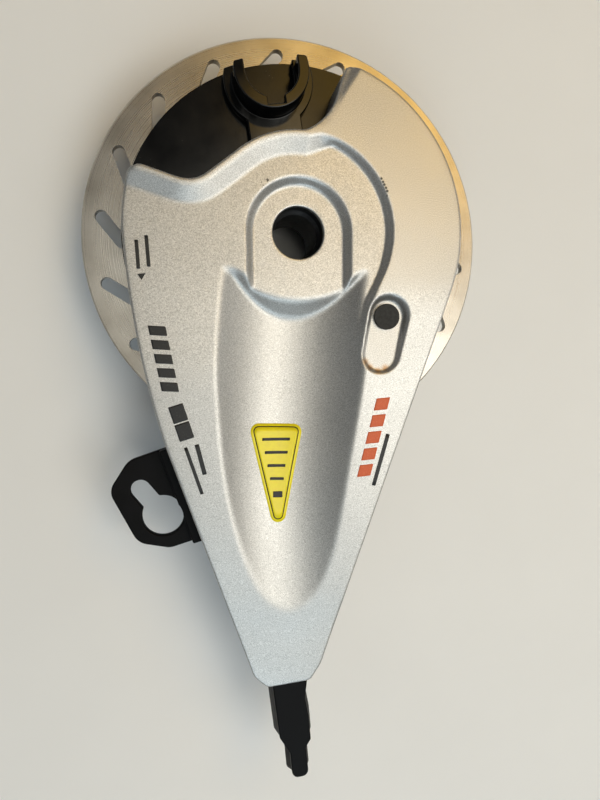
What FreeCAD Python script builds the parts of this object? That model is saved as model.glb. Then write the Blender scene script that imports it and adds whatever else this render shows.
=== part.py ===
import FreeCAD, Part
import math
import os
import re
import Sketcher

# Front hub roller brake. The axle axis is Z, pointing outboard; the wheel hub's side is
# Z = 0; the reaction arm points along -Y. A cable link turns a six-ramp cam, the ramps
# lift six rollers, and the rollers press three shoes on the drum that carries the disc.

Vector = FreeCAD.Vector
UP = Vector(0, 0, 1)
doc = FreeCAD.newDocument("HubRollerBrake")
sheet = doc.addObject("Spreadsheet::Sheet", "sizes")

SIZES = (
    # brake drum
    ("drum_bore", 32.0, "radius of the braking surface"),
    ("drum_wall", 2.5, "thickness of the drum wall"),
    ("drum_floor", 3.0, "thickness of the drum floor on the hub side"),
    ("drum_seat", 16.0, "height of the flange face that carries the disc"),
    ("flange_reach", 3.9, "how far the flange stands out of the drum wall"),
    ("flange_thickness", 2.0, "thickness of the disc flange"),
    ("spigot_rise", 1.6, "drum wall above the flange, which centres the disc"),
    ("boss_radius", 17.0, "outer radius of the hub boss in the drum floor"),
    ("boss_height", 4.2, "height of the hub boss"),
    ("pilot_radius", 13.6, "plain register that centres the drum on the hub"),
    ("pilot_depth", 2.0, "length of the plain register"),
    ("serration_tip", 12.5, "radius to the tips of the hub serrations"),
    ("serration_depth", 0.9, "depth of the hub serrations"),
    ("serration_count", 30, "number of hub serrations"),
    # cooling disc
    ("disc_radius", 50.0, "outer radius of the cooling disc"),
    ("disc_thickness", 2.0, "thickness of the cooling disc"),
    ("disc_fit", 0.08, "radial clearance of the disc on the drum spigot"),
    ("disc_edge", 0.4, "chamfer of the disc rim"),
    ("slot_count", 18, "number of slanted slots"),
    ("slot_width", 3.1, "width of a slot"),
    ("slot_offset", 32.3, "distance of a slot's centre line from the axis"),
    ("slot_margin", 2.9, "width of the disc's rim outside the slots"),
    ("slot_clear", 2.2, "distance of the slots' inner ends outside the drum's flange"),
    ("slot_turn", 18.1, "angle of the first slot about the axis, degrees"),
    ("rivet_count", 9, "number of disc rivets"),
    ("rivet_circle", 36.6, "radius of the circle of disc rivets"),
    ("rivet_turn", 10.0, "angle of the first disc rivet, degrees"),
    ("rivet_shank", 1.1, "radius of a disc rivet"),
    ("rivet_head", 1.7, "radius of a disc rivet's heads"),
    ("rivet_head_height", 0.7, "height of a disc rivet's heads"),
    # roller and cam unit
    ("unit_floor", 6.0, "height where the cam and the rollers begin"),
    ("unit_height", 9.4, "length of the rollers"),
    ("cam_bore", 12.55, "bore of the cam, running on the axle bush"),
    ("cam_radius", 19.15, "radius of the ramps where the rollers rest"),
    ("ramp_slope", 1.23, "rise of a ramp in millimetres per radian"),
    ("ramp_back", 14.0, "angle of a ramp past the rest point, degrees"),
    ("ramp_front", 28.0, "angle of a ramp before the rest point, degrees"),
    ("neck_radius", 15.8, "outer radius of the neck that carries the link"),
    ("neck_top", 21.8, "height of the shoulder that carries the link"),
    ("neck_spigot", 14.3, "radius of the spigot inside the link"),
    ("roller_count", 6, "number of rollers and ramps"),
    ("roller_radius", 3.0, "radius of a roller"),
    ("roller_play", 0.1, "gap between a roller and its ramp or its shoe"),
    ("cage_wall", 4.0, "radial thickness of the roller cage"),
    ("cage_gap", 1.1, "gap between the cage and the cam ramps"),
    ("cage_rim", 0.7, "height of the cage above and below its pockets"),
    ("pocket_play", 0.2, "clearance of a roller in its pocket"),
    # shoes
    ("shoe_count", 3, "number of brake shoes"),
    ("shoe_gap", 0.4, "gap between a shoe and the drum"),
    ("shoe_base", 5.4, "height of the underside of the shoes"),
    ("shoe_height", 10.2, "height of the shoes"),
    ("shoe_angle", 107.0, "angle that a shoe spans, degrees"),
    ("groove_depth", 1.9, "depth of the spring grooves in the shoes"),
    ("groove_width", 1.7, "width of the spring grooves"),
    ("groove_inset", 1.8, "distance of a groove from the shoe's end face"),
    ("shoe_wire", 0.6, "half width of the shoe springs' square wire"),
    ("shoe_spring_gap", 0.4, "gap under the shoe springs while the shoes are in"),
    ("shoe_spring_angle", 345.0, "angle that a shoe spring spans, degrees"),
    # fixed parts
    ("anchor_base", 16.4, "height of the underside of the anchor plate"),
    ("anchor_thickness", 2.0, "thickness of the anchor plate"),
    ("anchor_bore", 19.2, "inner radius of the anchor plate"),
    ("anchor_gap", 0.6, "gap between the anchor plate and the drum"),
    ("lug_outer", 29.4, "radius of the outer faces of the anchor lugs"),
    ("lug_depth", 3.2, "radial depth of an anchor lug"),
    ("lug_width", 5.0, "width of an anchor lug"),
    ("spacer_reach", 4.85, "distance of the spacer rivets outside the cam's ramps"),
    ("spacer_circle", "=cam_radius + spacer_reach", "radius of the circle of the spacer rivets"),
    ("spacer_count", 4, "number of spacer rivets"),
    ("spacer_pitch", 40.0, "angle between spacer rivets, degrees"),
    ("spacer_radius", 2.9, "radius of a spacer rivet between the plates"),
    ("spacer_shank", 1.8, "radius of a spacer rivet's ends"),
    ("spacer_head", 3.0, "radius of a spacer rivet's flat ends"),
    ("spacer_end_height", 0.2, "height of those ends over the plates"),
    ("bush_radius", 12.5, "radius of the cam journal on the axle bush"),
    ("bush_neck", 9.0, "radius of the axle bush through the arm"),
    ("bush_base", 4.7, "height of the hub end of the axle bush"),
    ("axle_bore", 5.3, "bore for the axle"),
    ("axle_mouth", 6.1, "radius of the counterbore under the nut face"),
    ("mouth_depth", 3.2, "depth of that counterbore"),
    ("cone_bore", 9.2, "radius of the recess for the hub cone"),
    ("cone_depth", 8.0, "depth of the recess for the hub cone"),
    ("clip_thickness", 0.8, "thickness of the retaining ring"),
    ("clip_depth", 0.7, "depth of the retaining ring's groove"),
    ("clip_radius", 14.0, "outer radius of the retaining ring"),
    ("clip_gap", 0.2, "gap between the retaining ring and the cam"),
    ("washer_thickness", 0.3, "thickness of the slide washer"),
    # dust plate and seal
    ("dust_thickness", 1.2, "thickness of the dust plate"),
    ("dust_bore", 20.0, "inner radius of the dust plate"),
    ("dust_step", 25.5, "radius of the dish in the dust plate"),
    ("dish_drop", 3.7, "distance of that dish's centre below the axle axis"),
    ("dust_rise", 2.0, "rise of the dust plate's outer field"),
    ("dust_radius", 41.2, "outer radius of the dust plate"),
    ("dust_shift", 0.8, "offset of the dust plate's rim from the axle axis"),
    ("dust_gap", 0.6, "gap between the dust plate's rim and the disc"),
    ("seal_gap", 0.3, "gap between the dust seal and the drum"),
    ("seal_inner", 32.7, "inner radius of the dust seal"),
    ("seal_outer", 34.2, "outer radius of the dust seal"),
    # cable link
    ("link_thickness", 2.2, "thickness of the link plate"),
    ("link_ring", 18.2, "outer radius of the link around the cam neck"),
    ("link_angle", 98.4, "direction of the cable hook at rest, degrees"),
    ("link_arm", 13.0, "width of the link between its ring and the hook"),
    ("hook_centre", 37.2, "distance of the hook from the axle axis"),
    ("hook_radius", 10.7, "outer radius of the hook's lower plate"),
    ("hook_crown", 8.7, "outer radius of the hook's upper plate"),
    ("hook_mouth", 6.2, "radius of the cradle in the hook"),
    ("hook_tip", 40.3, "distance of the upper plate's tips from the axle axis"),
    ("hook_toe", 42.0, "distance of the lower plate's tips from the axle axis"),
    ("hook_top", 30.0, "height of the hook's upper plate"),
    ("hook_plate", 1.7, "thickness of the hook's upper plate"),
    ("hook_wall", 1.8, "thickness of the wall between the hook's plates"),
    ("nick_width", 4.0, "width of the nick at the bottom of the cradle"),
    ("nick_depth", 1.5, "depth of that nick"),
    ("spring_wire", 0.6, "half width of the link spring's square wire"),
    ("spring_pitch", 1.5, "pitch of the link spring's turns"),
    ("spring_turns", 2.5, "turns of the link spring"),
    # reaction arm
    ("arm_base", 24.4, "height of the underside of the reaction arm"),
    ("arm_thickness", 2.3, "thickness of the reaction arm's steel"),
    ("arm_eye", 20.0, "radius of the reaction arm around the axle"),
    ("arm_shoulder", 27.0, "half width of the reaction arm below the axle"),
    ("shoulder_down", 14.0, "distance of those shoulders below the axle"),
    ("flank_down", 45.0, "distance below the axle where the flanks begin to close"),
    ("arm_neck_width", 10.4, "width of the reaction arm where its tip begins"),
    ("arm_neck_reach", 104.0, "distance of that place from the axle"),
    ("tip_lean", 4.7, "angle of the arm's tip to the arm, degrees"),
    ("tip_width", 7.9, "width of the arm's tip"),
    ("tip_shift", -0.45, "sideways place of the wide tip on its own middle"),
    ("waist_depth", 0.5, "how far the tip is waisted on one side"),
    ("tip_reach", 126.0, "distance of the end of the wide tip from the axle"),
    ("nose_width", 4.2, "width of the nose of the tip"),
    ("nose_length", 9.5, "length of the nose past the wide tip"),
    ("tip_depth", 5.2, "height of the tip's folded channel"),
    ("tip_splay", 1.0, "how far the channel's walls lean out at their foot"),
    ("flange_start", 80.0, "distance of the start of the folded flanges"),
    # casing holder
    ("holder_thickness", 2.0, "thickness of the casing holder"),
    ("holder_drop", 3.0, "drop of the holder's tab below its flange"),
    ("keyhole_side", 32.5, "sideways distance of the keyhole from the axle"),
    ("keyhole_down", 67.0, "distance of the keyhole below the axle"),
    ("keyhole_radius", 5.0, "radius of the keyhole's round end"),
    ("keyhole_slot", 4.8, "width of the keyhole's slot"),
    ("keyhole_length", 8.4, "length of the slot, centre to centre"),
    # cover
    ("cover_thickness", 1.2, "thickness of the cover's sheet"),
    ("cover_right", 38.4, "radius of the cover's right side about the axle"),
    ("cover_left", 39.0, "radius of the cover's left side about the axle"),
    ("cover_reach", 110.1, "distance of the cover's end from the axle"),
    ("cover_foot", 21.9, "height of the cover's lower edge"),
    ("cutout_radius", 21.8, "radius of the link opening about the axle"),
    ("cutout_angle", 128.0, "angle where its edge leaves that circle, degrees"),
    ("bay_slope", 17.0, "slope of the opening's edge beside the hook, degrees"),
    ("bay_offset", 2.1, "distance of that edge's line from the axle axis"),
    ("bay_bend", 7.0, "radius of the bend between the two"),
    ("rim_width", 1.2, "width of the flat rim along the opening"),
    ("rim_slope", 3.6, "width of the slope between that rim and the low field"),
    ("wing_radius", 21.6, "radius of the top of the wing's wall about the axle"),
    ("wing_slope", 1.4, "width of that wall, seen from above"),
    ("arm_gap", 0.3, "gap between the cover's walls and the arm that leaves it"),
    ("link_way", 25.4, "height of the cover's edge over the moving link"),
    ("field_top", 33.5, "height of the cover's low field"),
    ("wing_top", 35.2, "height of the cover's raised wing and rim"),
    ("end_top", 27.9, "height of the cover's end"),
    ("nut_face", 31.7, "height of the face under the axle nut"),
    ("nut_recess", 10.7, "radius of the face under the axle nut"),
    ("nut_slope", 1.3, "run of the wall around that face"),
    ("nut_hole", 5.95, "radius of the cover's axle hole"),
    ("trough_floor", 28.0, "height of the trough's floor at its head"),
    ("trough_radius", 28.0, "radius of the trough's section at its head"),
    ("trough_flare", 6.5, "opening angle of the trough towards the tip, degrees"),
    ("trough_head", 19.3, "radius of the foot of the trough's head wall"),
    ("trough_tilt", 1.2, "rise of the trough towards the arm's tip, degrees"),
    ("trough_side", -2.2, "sideways place of the trough's middle"),
    ("nut_edge", 15.4, "distance of the nut face's lower edge from the axle"),
    ("pill_floor", 33.0, "height of the floor of the grease port's recess"),
    ("pill_radius", 4.2, "radius of that recess"),
    ("plug_side", 20.6, "sideways place of the grease plug"),
    ("plug_down", 19.2, "distance of the grease plug below the axle"),
    ("plug_radius", 3.0, "radius of the grease plug's head"),
    ("plug_stem", 2.2, "radius of the grease plug's stem"),
    ("plug_fit", 0.1, "clearance of the plug's stem in the cover"),
)
for row, (alias, value, note) in enumerate(SIZES, start=1):
    sheet.set("A%d" % row, alias)
    sheet.set("B%d" % row, str(value))
    sheet.set("C%d" % row, note)
    sheet.setAlias("B%d" % row, alias)
doc.recompute()
ALIASES = {alias for alias, value, note in SIZES}


def size(alias):
    """The value of one cell of the sheet."""
    return float(sheet.get(alias))


def bound(expression):
    """The expression with each alias written as the sheet's cell."""
    return re.sub(r"[a-z_]+", lambda word: "sizes." + word.group()
                  if word.group() in ALIASES else word.group(), str(expression))


def evaluate(expression):
    """The number that an expression of aliases gives now."""
    return float(sheet.evalExpression(bound(expression)))


subparts = []


def publish(piece, label):
    """Name a finished sub-part and put it on the list of nodes."""
    piece.Label = label
    subparts.append(piece)
    return piece


# ---- PartDesign helpers -----------------------------------------------------------

def new_body(name):
    return doc.addObject("PartDesign::Body", name)


def origin_feature(body, role):
    return next(item for item in body.Origin.OriginFeatures if item.Role == role)


def new_sketch(body, name, role, height=None):
    """A sketch on one of the body's own origin planes, raised by an expression."""
    sketch = body.newObject("Sketcher::SketchObject", name)
    sketch.AttachmentSupport = (origin_feature(body, role), [""])
    sketch.MapMode = "FlatFace"
    if height is not None:
        sketch.setExpression("AttachmentOffset.Base.z", bound(height))
    return sketch


def dimension(sketch, kind, elements, expression, name):
    """Add one driving dimension and tie it to an expression of the sheet."""
    index = sketch.addConstraint(Sketcher.Constraint(kind, *elements, evaluate(expression)))
    sketch.renameConstraint(index, name)
    sketch.setExpression("Constraints." + name, bound(expression))


def add_polygon(sketch, corners, prefix="p"):
    """A closed outline; each corner is a pair of expressions from the sketch origin."""
    points = [Vector(evaluate(across), evaluate(along), 0) for across, along in corners]
    first = sketch.GeometryCount
    count = len(points)
    for index in range(count):
        line = Part.LineSegment(points[index], points[(index + 1) % count])
        sketch.addGeometry(line, False)
    for index in range(count):
        follower = first + (index + 1) % count
        sketch.addConstraint(Sketcher.Constraint("Coincident", first + index, 2, follower, 1))
    for index, (across, along) in enumerate(corners):
        start = (-1, 1, first + index, 1)
        dimension(sketch, "DistanceX", start, across, "%sx%d" % (prefix, index))
        dimension(sketch, "DistanceY", start, along, "%sy%d" % (prefix, index))


def revolved_body(name, corners, angle=None):
    """A body turned about Z from corners given as (radius, height)."""
    body = new_body(name)
    sketch = new_sketch(body, name + "_profile", "XZ_Plane")
    add_polygon(sketch, corners)
    turned = body.newObject("PartDesign::Revolution", name + "_turned")
    turned.Profile = sketch
    turned.ReferenceAxis = (sketch, ["V_Axis"])
    turned.Angle = 360
    if angle is not None:
        turned.Midplane = True
        turned.setExpression("Angle", bound(angle))
    body.Tip = turned
    doc.recompute()
    return body


def polar_pattern(body, feature, count, angle="360"):
    """Repeat a feature about the body's own Z axis."""
    pattern = body.newObject("PartDesign::PolarPattern", feature.Name + "_pattern")
    pattern.Originals = [feature]
    pattern.Axis = (origin_feature(body, "Z_Axis"), [""])
    pattern.setExpression("Angle", bound(angle))
    pattern.setExpression("Occurrences", bound(count))
    body.Tip = pattern
    doc.recompute()
    return pattern


def pocket(body, sketch, name):
    """Cut a sketch through the body both ways, and check that it took metal away."""
    before = body.Shape.Volume
    cut = body.newObject("PartDesign::Pocket", name)
    cut.Profile = sketch
    cut.Type = 1
    cut.Midplane = True
    body.Tip = cut
    doc.recompute()
    if not body.Shape.Volume < before - 0.01:
        raise RuntimeError(name + " cuts nothing")
    return cut


# ---- helpers for plan shapes ------------------------------------------------------

def polar(radius, degrees, height=0.0):
    """The point at a radius and an angle about the axle axis."""
    turn = math.radians(degrees)
    return Vector(radius * math.cos(turn), radius * math.sin(turn), height)


def rounded_outline(corners):
    """A closed flat wire through corners (x, y, radius), each rounded by its radius."""
    count = len(corners)
    ends = []
    for index, (x, y, radius) in enumerate(corners):
        here = Vector(x, y, 0)
        before = Vector(*corners[index - 1][:2], 0)
        after = Vector(*corners[(index + 1) % count][:2], 0)
        back = (before - here).normalize()
        ahead = (after - here).normalize()
        half = back.getAngle(ahead) / 2
        if radius <= 0:
            ends.append((here, None, here))
            continue
        run = radius / math.tan(half)
        middle = here + (back + ahead).normalize() * (radius / math.sin(half) - radius)
        ends.append((here + back * run, middle, here + ahead * run))
    edges = []
    for index, (start, middle, finish) in enumerate(ends):
        if middle is not None:
            edges.append(Part.Arc(start, middle, finish).toShape())
        following = ends[(index + 1) % count][0]
        if (following - finish).Length > 1e-6:
            edges.append(Part.LineSegment(finish, following).toShape())
    return Part.Wire(edges)


def slab(wire, low, high):
    """The solid between two heights over a flat wire."""
    face = Part.Face(wire)
    face.translate(Vector(0, 0, low))
    return face.extrude(Vector(0, 0, high - low))


def cylinder(radius, low, high, centre=Vector()):
    return Part.makeCylinder(radius, high - low, Vector(centre.x, centre.y, low))


def feature(label, shape):
    """A sub-part whose shape is computed from the sheet in this script."""
    piece = doc.addObject("Part::Feature", label)
    piece.Shape = shape
    return publish(piece, label)


# ---- brake drum, cooling disc and their rivets ------------------------------------

drum = revolved_body("brake_drum", (
    ("serration_tip", "boss_height"),
    ("serration_tip", "pilot_depth"),
    ("pilot_radius", "pilot_depth"),
    ("pilot_radius", "0"),
    ("drum_bore + drum_wall", "0"),
    ("drum_bore + drum_wall", "drum_seat - flange_thickness"),
    ("drum_bore + drum_wall + flange_reach", "drum_seat - flange_thickness"),
    ("drum_bore + drum_wall + flange_reach", "drum_seat"),
    ("drum_bore + drum_wall", "drum_seat"),
    ("drum_bore + drum_wall", "drum_seat + spigot_rise"),
    ("drum_bore", "drum_seat + spigot_rise"),
    ("drum_bore", "drum_floor"),
    ("boss_radius", "drum_floor"),
    ("boss_radius", "boss_height"),
))
groove_sketch = new_sketch(drum, "serration_sketch", "XY_Plane", "pilot_depth")
add_polygon(groove_sketch, (
    ("serration_tip - serration_depth", "-1.1 * serration_depth"),
    ("serration_tip + serration_depth", "-0.3 * serration_depth"),
    ("serration_tip + serration_depth", "0.3 * serration_depth"),
    ("serration_tip - serration_depth", "1.1 * serration_depth"),
))
serration = drum.newObject("PartDesign::Pocket", "serration")
serration.Profile = groove_sketch
serration.Reversed = True
serration.setExpression("Length", bound("boss_height - pilot_depth"))
drum.Tip = serration
plain_volume = drum.Shape.Volume
doc.recompute()
if not drum.Shape.Volume < plain_volume:
    raise RuntimeError("the serrations cut nothing")
polar_pattern(drum, serration, "serration_count")
rivet_sketch = new_sketch(drum, "drum_rivet_sketch", "XY_Plane", "drum_seat")
rivet_hole = rivet_sketch.addGeometry(Part.Circle(polar(36, 10), UP, 1.1), False)
dimension(rivet_sketch, "DistanceX", (-1, 1, rivet_hole, 3),
          "rivet_circle * cos(rivet_turn * 1 deg)", "across")
dimension(rivet_sketch, "DistanceY", (-1, 1, rivet_hole, 3),
          "rivet_circle * sin(rivet_turn * 1 deg)", "along")
dimension(rivet_sketch, "Radius", (rivet_hole,), "rivet_shank", "shank")
drum_holes = drum.newObject("PartDesign::Pocket", "drum_rivet_hole")
drum_holes.Profile = rivet_sketch
drum_holes.setExpression("Length", bound("flange_thickness"))
drum.Tip = drum_holes
doc.recompute()
polar_pattern(drum, drum_holes, "rivet_count")
publish(drum, "brake_drum")

disc = revolved_body("cooling_disc", (
    ("drum_bore + drum_wall + disc_fit", "drum_seat"),
    ("disc_radius - disc_edge", "drum_seat"),
    ("disc_radius", "drum_seat + disc_edge"),
    ("disc_radius", "drum_seat + disc_thickness - disc_edge"),
    ("disc_radius - disc_edge", "drum_seat + disc_thickness"),
    ("drum_bore + drum_wall + disc_fit", "drum_seat + disc_thickness"),
))
# A slot runs beside the axis: two straight sides with a half round at each end.
slot_sketch = new_sketch(disc, "slot_sketch", "XY_Plane", "drum_seat")
slot_half = size("slot_width") / 2
near_side = size("slot_offset") - slot_half
far_side = size("slot_offset") + slot_half
SLOT_INNER = "(drum_bore + drum_wall + flange_reach + slot_clear)"
SLOT_OUTER = "(disc_radius - slot_margin - slot_width / 2)"
inner_end = -math.sqrt(evaluate(SLOT_INNER) ** 2 - size("slot_offset") ** 2)
outer_end = -math.sqrt(evaluate(SLOT_OUTER) ** 2 - size("slot_offset") ** 2)
inner_spot = Vector(size("slot_offset"), inner_end, 0)
outer_spot = Vector(size("slot_offset"), outer_end, 0)
slot_sketch.addGeometry(Part.LineSegment(Vector(near_side, inner_end, 0),
                                         Vector(near_side, outer_end, 0)), False)
slot_sketch.addGeometry(Part.ArcOfCircle(Part.Circle(outer_spot, UP, slot_half),
                                         math.pi, 2 * math.pi), False)
slot_sketch.addGeometry(Part.LineSegment(Vector(far_side, outer_end, 0),
                                         Vector(far_side, inner_end, 0)), False)
slot_sketch.addGeometry(Part.ArcOfCircle(Part.Circle(inner_spot, UP, slot_half),
                                         0, math.pi), False)
for link in ((0, 2, 1, 1), (1, 2, 2, 1), (2, 2, 3, 1), (3, 2, 0, 1)):
    slot_sketch.addConstraint(Sketcher.Constraint("Tangent", *link))
SLOT_DROP = "-sqrt(%s * %s - slot_offset * slot_offset)"
dimension(slot_sketch, "DistanceX", (-1, 1, 1, 3), "slot_offset", "outer_across")
dimension(slot_sketch, "DistanceY", (-1, 1, 1, 3), SLOT_DROP % (SLOT_OUTER, SLOT_OUTER), "outer_along")
dimension(slot_sketch, "Radius", (1,), "slot_width / 2", "outer_end")
dimension(slot_sketch, "DistanceX", (-1, 1, 3, 3), "slot_offset", "inner_across")
dimension(slot_sketch, "DistanceY", (-1, 1, 3, 3), SLOT_DROP % (SLOT_INNER, SLOT_INNER), "inner_along")
dimension(slot_sketch, "Radius", (3,), "slot_width / 2", "inner_end")
slot = pocket(disc, slot_sketch, "slot")
polar_pattern(disc, slot, "slot_count")
disc_rivets = new_sketch(disc, "disc_rivet_sketch", "XY_Plane", "drum_seat")
hole = disc_rivets.addGeometry(Part.Circle(polar(36, -8), UP, 1.1), False)
dimension(disc_rivets, "DistanceX", (-1, 1, hole, 3),
          "rivet_circle * cos((rivet_turn - slot_turn) * 1 deg)", "across")
dimension(disc_rivets, "DistanceY", (-1, 1, hole, 3),
          "rivet_circle * sin((rivet_turn - slot_turn) * 1 deg)", "along")
dimension(disc_rivets, "Radius", (hole,), "rivet_shank", "shank")
disc_hole = pocket(disc, disc_rivets, "disc_rivet_hole")
polar_pattern(disc, disc_hole, "rivet_count")
disc.setExpression("Placement.Rotation.Angle", bound("slot_turn * 1 deg"))
publish(disc, "cooling_disc")


def rivet_group(label, count, pitch, first, circle, levels):
    """Like rivets about the axle axis, each fused from cylinders (radius, low, high)."""
    rivets = []
    for index in range(int(round(evaluate(count)))):
        stages = []
        for stage, (radius, low, high) in enumerate(levels):
            part = doc.addObject("Part::Cylinder", "%s_%d_%d" % (label, index, stage))
            part.setExpression("Radius", bound(radius))
            part.setExpression("Height", bound("(%s) - (%s)" % (high, low)))
            angle = "((%s) + %d * (%s)) * 1 deg" % (first, index, pitch)
            part.setExpression("Placement.Base.x", bound("(%s) * cos(%s)" % (circle, angle)))
            part.setExpression("Placement.Base.y", bound("(%s) * sin(%s)" % (circle, angle)))
            part.setExpression("Placement.Base.z", bound(low))
            stages.append(part)
        rivet = doc.addObject("Part::MultiFuse", "%s_%d" % (label, index))
        rivet.Shapes = stages
        rivets.append(rivet)
    group = doc.addObject("Part::Compound", label)
    group.Links = rivets
    return publish(group, label)


rivet_group("disc_rivets", "rivet_count", "360 / rivet_count", "rivet_turn", "rivet_circle", (
    ("rivet_head", "drum_seat - flange_thickness - rivet_head_height",
     "drum_seat - flange_thickness"),
    ("rivet_shank", "drum_seat - flange_thickness", "drum_seat + disc_thickness"),
    ("rivet_head", "drum_seat + disc_thickness",
     "drum_seat + disc_thickness + rivet_head_height"),
))

# ---- axle bush, retaining ring and slide washer -----------------------------------

CLIP_LOW = "unit_floor - clip_gap - clip_thickness"
publish(revolved_body("axle_bush", (
    ("cone_bore", "bush_base"),
    ("bush_radius", "bush_base"),
    ("bush_radius", CLIP_LOW),
    ("bush_radius - clip_depth", CLIP_LOW),
    ("bush_radius - clip_depth", CLIP_LOW + " + clip_thickness"),
    ("bush_radius", CLIP_LOW + " + clip_thickness"),
    ("bush_radius", "arm_base"),
    ("bush_neck", "arm_base"),
    ("bush_neck", "nut_face - cover_thickness"),
    ("axle_mouth", "nut_face - cover_thickness"),
    ("axle_mouth", "nut_face - cover_thickness - mouth_depth"),
    ("axle_bore", "nut_face - cover_thickness - mouth_depth - axle_mouth + axle_bore"),
    ("axle_bore", "bush_base + cone_depth"),
    ("cone_bore", "bush_base + cone_depth"),
)), "axle_bush")

clip = revolved_body("retaining_ring", (
    ("bush_radius - clip_depth", CLIP_LOW),
    ("clip_radius", CLIP_LOW),
    ("clip_radius", CLIP_LOW + " + clip_thickness"),
    ("bush_radius - clip_depth", CLIP_LOW + " + clip_thickness"),
))
gap_sketch = new_sketch(clip, "clip_gap_sketch", "XY_Plane", CLIP_LOW)
add_polygon(gap_sketch, (
    ("0", "-2 * clip_thickness"),
    ("2 * clip_radius", "-2 * clip_thickness"),
    ("2 * clip_radius", "2 * clip_thickness"),
    ("0", "2 * clip_thickness"),
))
pocket(clip, gap_sketch, "clip_opening")
publish(clip, "retaining_ring")

publish(revolved_body("slide_washer", (
    ("bush_radius + 0.1", "neck_top + link_thickness + 0.05"),
    ("link_ring - 1", "neck_top + link_thickness + 0.05"),
    ("link_ring - 1", "neck_top + link_thickness + 0.05 + washer_thickness"),
    ("bush_radius + 0.1", "neck_top + link_thickness + 0.05 + washer_thickness"),
)), "slide_washer")

# ---- cam: six spiral ramps, a hub neck and a spigot for the link -------------------

ramps = int(size("roller_count"))
sector = 360.0 / ramps
unit_floor = size("unit_floor")
unit_top = unit_floor + size("unit_height")
rest_radius = size("cam_radius")
pitch_radius = rest_radius + size("roller_play") + size("roller_radius")


def ramp_radius(degrees):
    """Radius of a ramp at an angle past the point where its roller rests."""
    return rest_radius - size("ramp_slope") * math.radians(degrees)


cam_edges = []
for index in range(ramps):
    rest_angle = sector * (index + 0.5)
    high = -size("ramp_front")
    low = size("ramp_back")
    crest = polar(ramp_radius(high), rest_angle + high)
    middle = polar(ramp_radius((high + low) / 2), rest_angle + (high + low) / 2)
    valley = polar(ramp_radius(low), rest_angle + low)
    turn = (low + high + sector) / 2
    flank = polar((ramp_radius(low) + ramp_radius(high)) / 2 - 0.05, rest_angle + turn)
    following = polar(ramp_radius(high), rest_angle + high + sector)
    cam_edges.append(Part.Arc(crest, middle, valley).toShape())
    cam_edges.append(Part.Arc(valley, flank, following).toShape())
cam = slab(Part.Wire(cam_edges), unit_floor, unit_top)
cam = cam.fuse(cylinder(size("neck_radius"), unit_top, size("neck_top")))
cam = cam.fuse(cylinder(size("neck_spigot"), size("neck_top"),
                        size("neck_top") + size("link_thickness")))
cam = cam.cut(cylinder(size("cam_bore"), 0, size("arm_base")))
feature("cam", cam.removeSplitter())

# ---- roller cage and rollers -------------------------------------------------------

CAGE_INNER = "cam_radius + cage_gap"
cage = revolved_body("roller_cage", (
    (CAGE_INNER, "unit_floor - cage_rim"),
    (CAGE_INNER + " + cage_wall", "unit_floor - cage_rim"),
    (CAGE_INNER + " + cage_wall", "unit_floor + unit_height + cage_rim"),
    (CAGE_INNER, "unit_floor + unit_height + cage_rim"),
))
pocket_sketch = new_sketch(cage, "pocket_sketch", "XY_Plane", "unit_floor - pocket_play")
add_polygon(pocket_sketch, (
    ("cam_radius", "-roller_radius - pocket_play"),
    ("cam_radius + 2 * cage_wall", "-roller_radius - pocket_play"),
    ("cam_radius + 2 * cage_wall", "roller_radius + pocket_play"),
    ("cam_radius", "roller_radius + pocket_play"),
))
roller_pocket = cage.newObject("PartDesign::Pocket", "roller_pocket")
roller_pocket.Profile = pocket_sketch
roller_pocket.Reversed = True
roller_pocket.setExpression("Length", bound("unit_height + 2 * pocket_play"))
whole_cage = cage.Shape.Volume
cage.Tip = roller_pocket
doc.recompute()
if not cage.Shape.Volume < whole_cage:
    raise RuntimeError("the roller pockets cut nothing")
polar_pattern(cage, roller_pocket, "roller_count")
cage.setExpression("Placement.Rotation.Angle", bound("180 / roller_count * 1 deg"))
publish(cage, "roller_cage")

PITCH = "(cam_radius + roller_play + roller_radius)"
for index in range(ramps):
    roller = doc.addObject("Part::Cylinder", "roller_%d" % (index + 1))
    roller.setExpression("Radius", bound("roller_radius"))
    roller.setExpression("Height", bound("unit_height"))
    angle = "(360 / roller_count * %s * 1 deg)" % (index + 0.5)
    roller.setExpression("Placement.Base.x", bound(PITCH + " * cos(%s)" % angle))
    roller.setExpression("Placement.Base.y", bound(PITCH + " * sin(%s)" % angle))
    roller.setExpression("Placement.Base.z", bound("unit_floor"))
    publish(roller, "roller_%d" % (index + 1))

# ---- brake shoes and their ring springs --------------------------------------------

SHOE_OUTER = "drum_bore - shoe_gap"
GROOVE = "drum_bore - shoe_gap - groove_depth"
SHOE_INNER = "cam_radius + 2 * roller_play + 2 * roller_radius"
SHOE_TOP = "shoe_base + shoe_height"
for index in range(int(size("shoe_count"))):
    label = "brake_shoe_%d" % (index + 1)
    shoe = revolved_body(label, (
        (SHOE_INNER, "shoe_base"),
        (SHOE_OUTER, "shoe_base"),
        (SHOE_OUTER, "shoe_base + groove_inset"),
        (GROOVE, "shoe_base + groove_inset"),
        (GROOVE, "shoe_base + groove_inset + groove_width"),
        (SHOE_OUTER, "shoe_base + groove_inset + groove_width"),
        (SHOE_OUTER, SHOE_TOP + " - groove_inset - groove_width"),
        (GROOVE, SHOE_TOP + " - groove_inset - groove_width"),
        (GROOVE, SHOE_TOP + " - groove_inset"),
        (SHOE_OUTER, SHOE_TOP + " - groove_inset"),
        (SHOE_OUTER, SHOE_TOP),
        (SHOE_INNER, SHOE_TOP),
    ), "shoe_angle")
    shoe.setExpression("Placement.Rotation.Angle",
                       bound("(180 + 360 * %d) / shoe_count * 1 deg" % index))
    publish(shoe, label)

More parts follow.
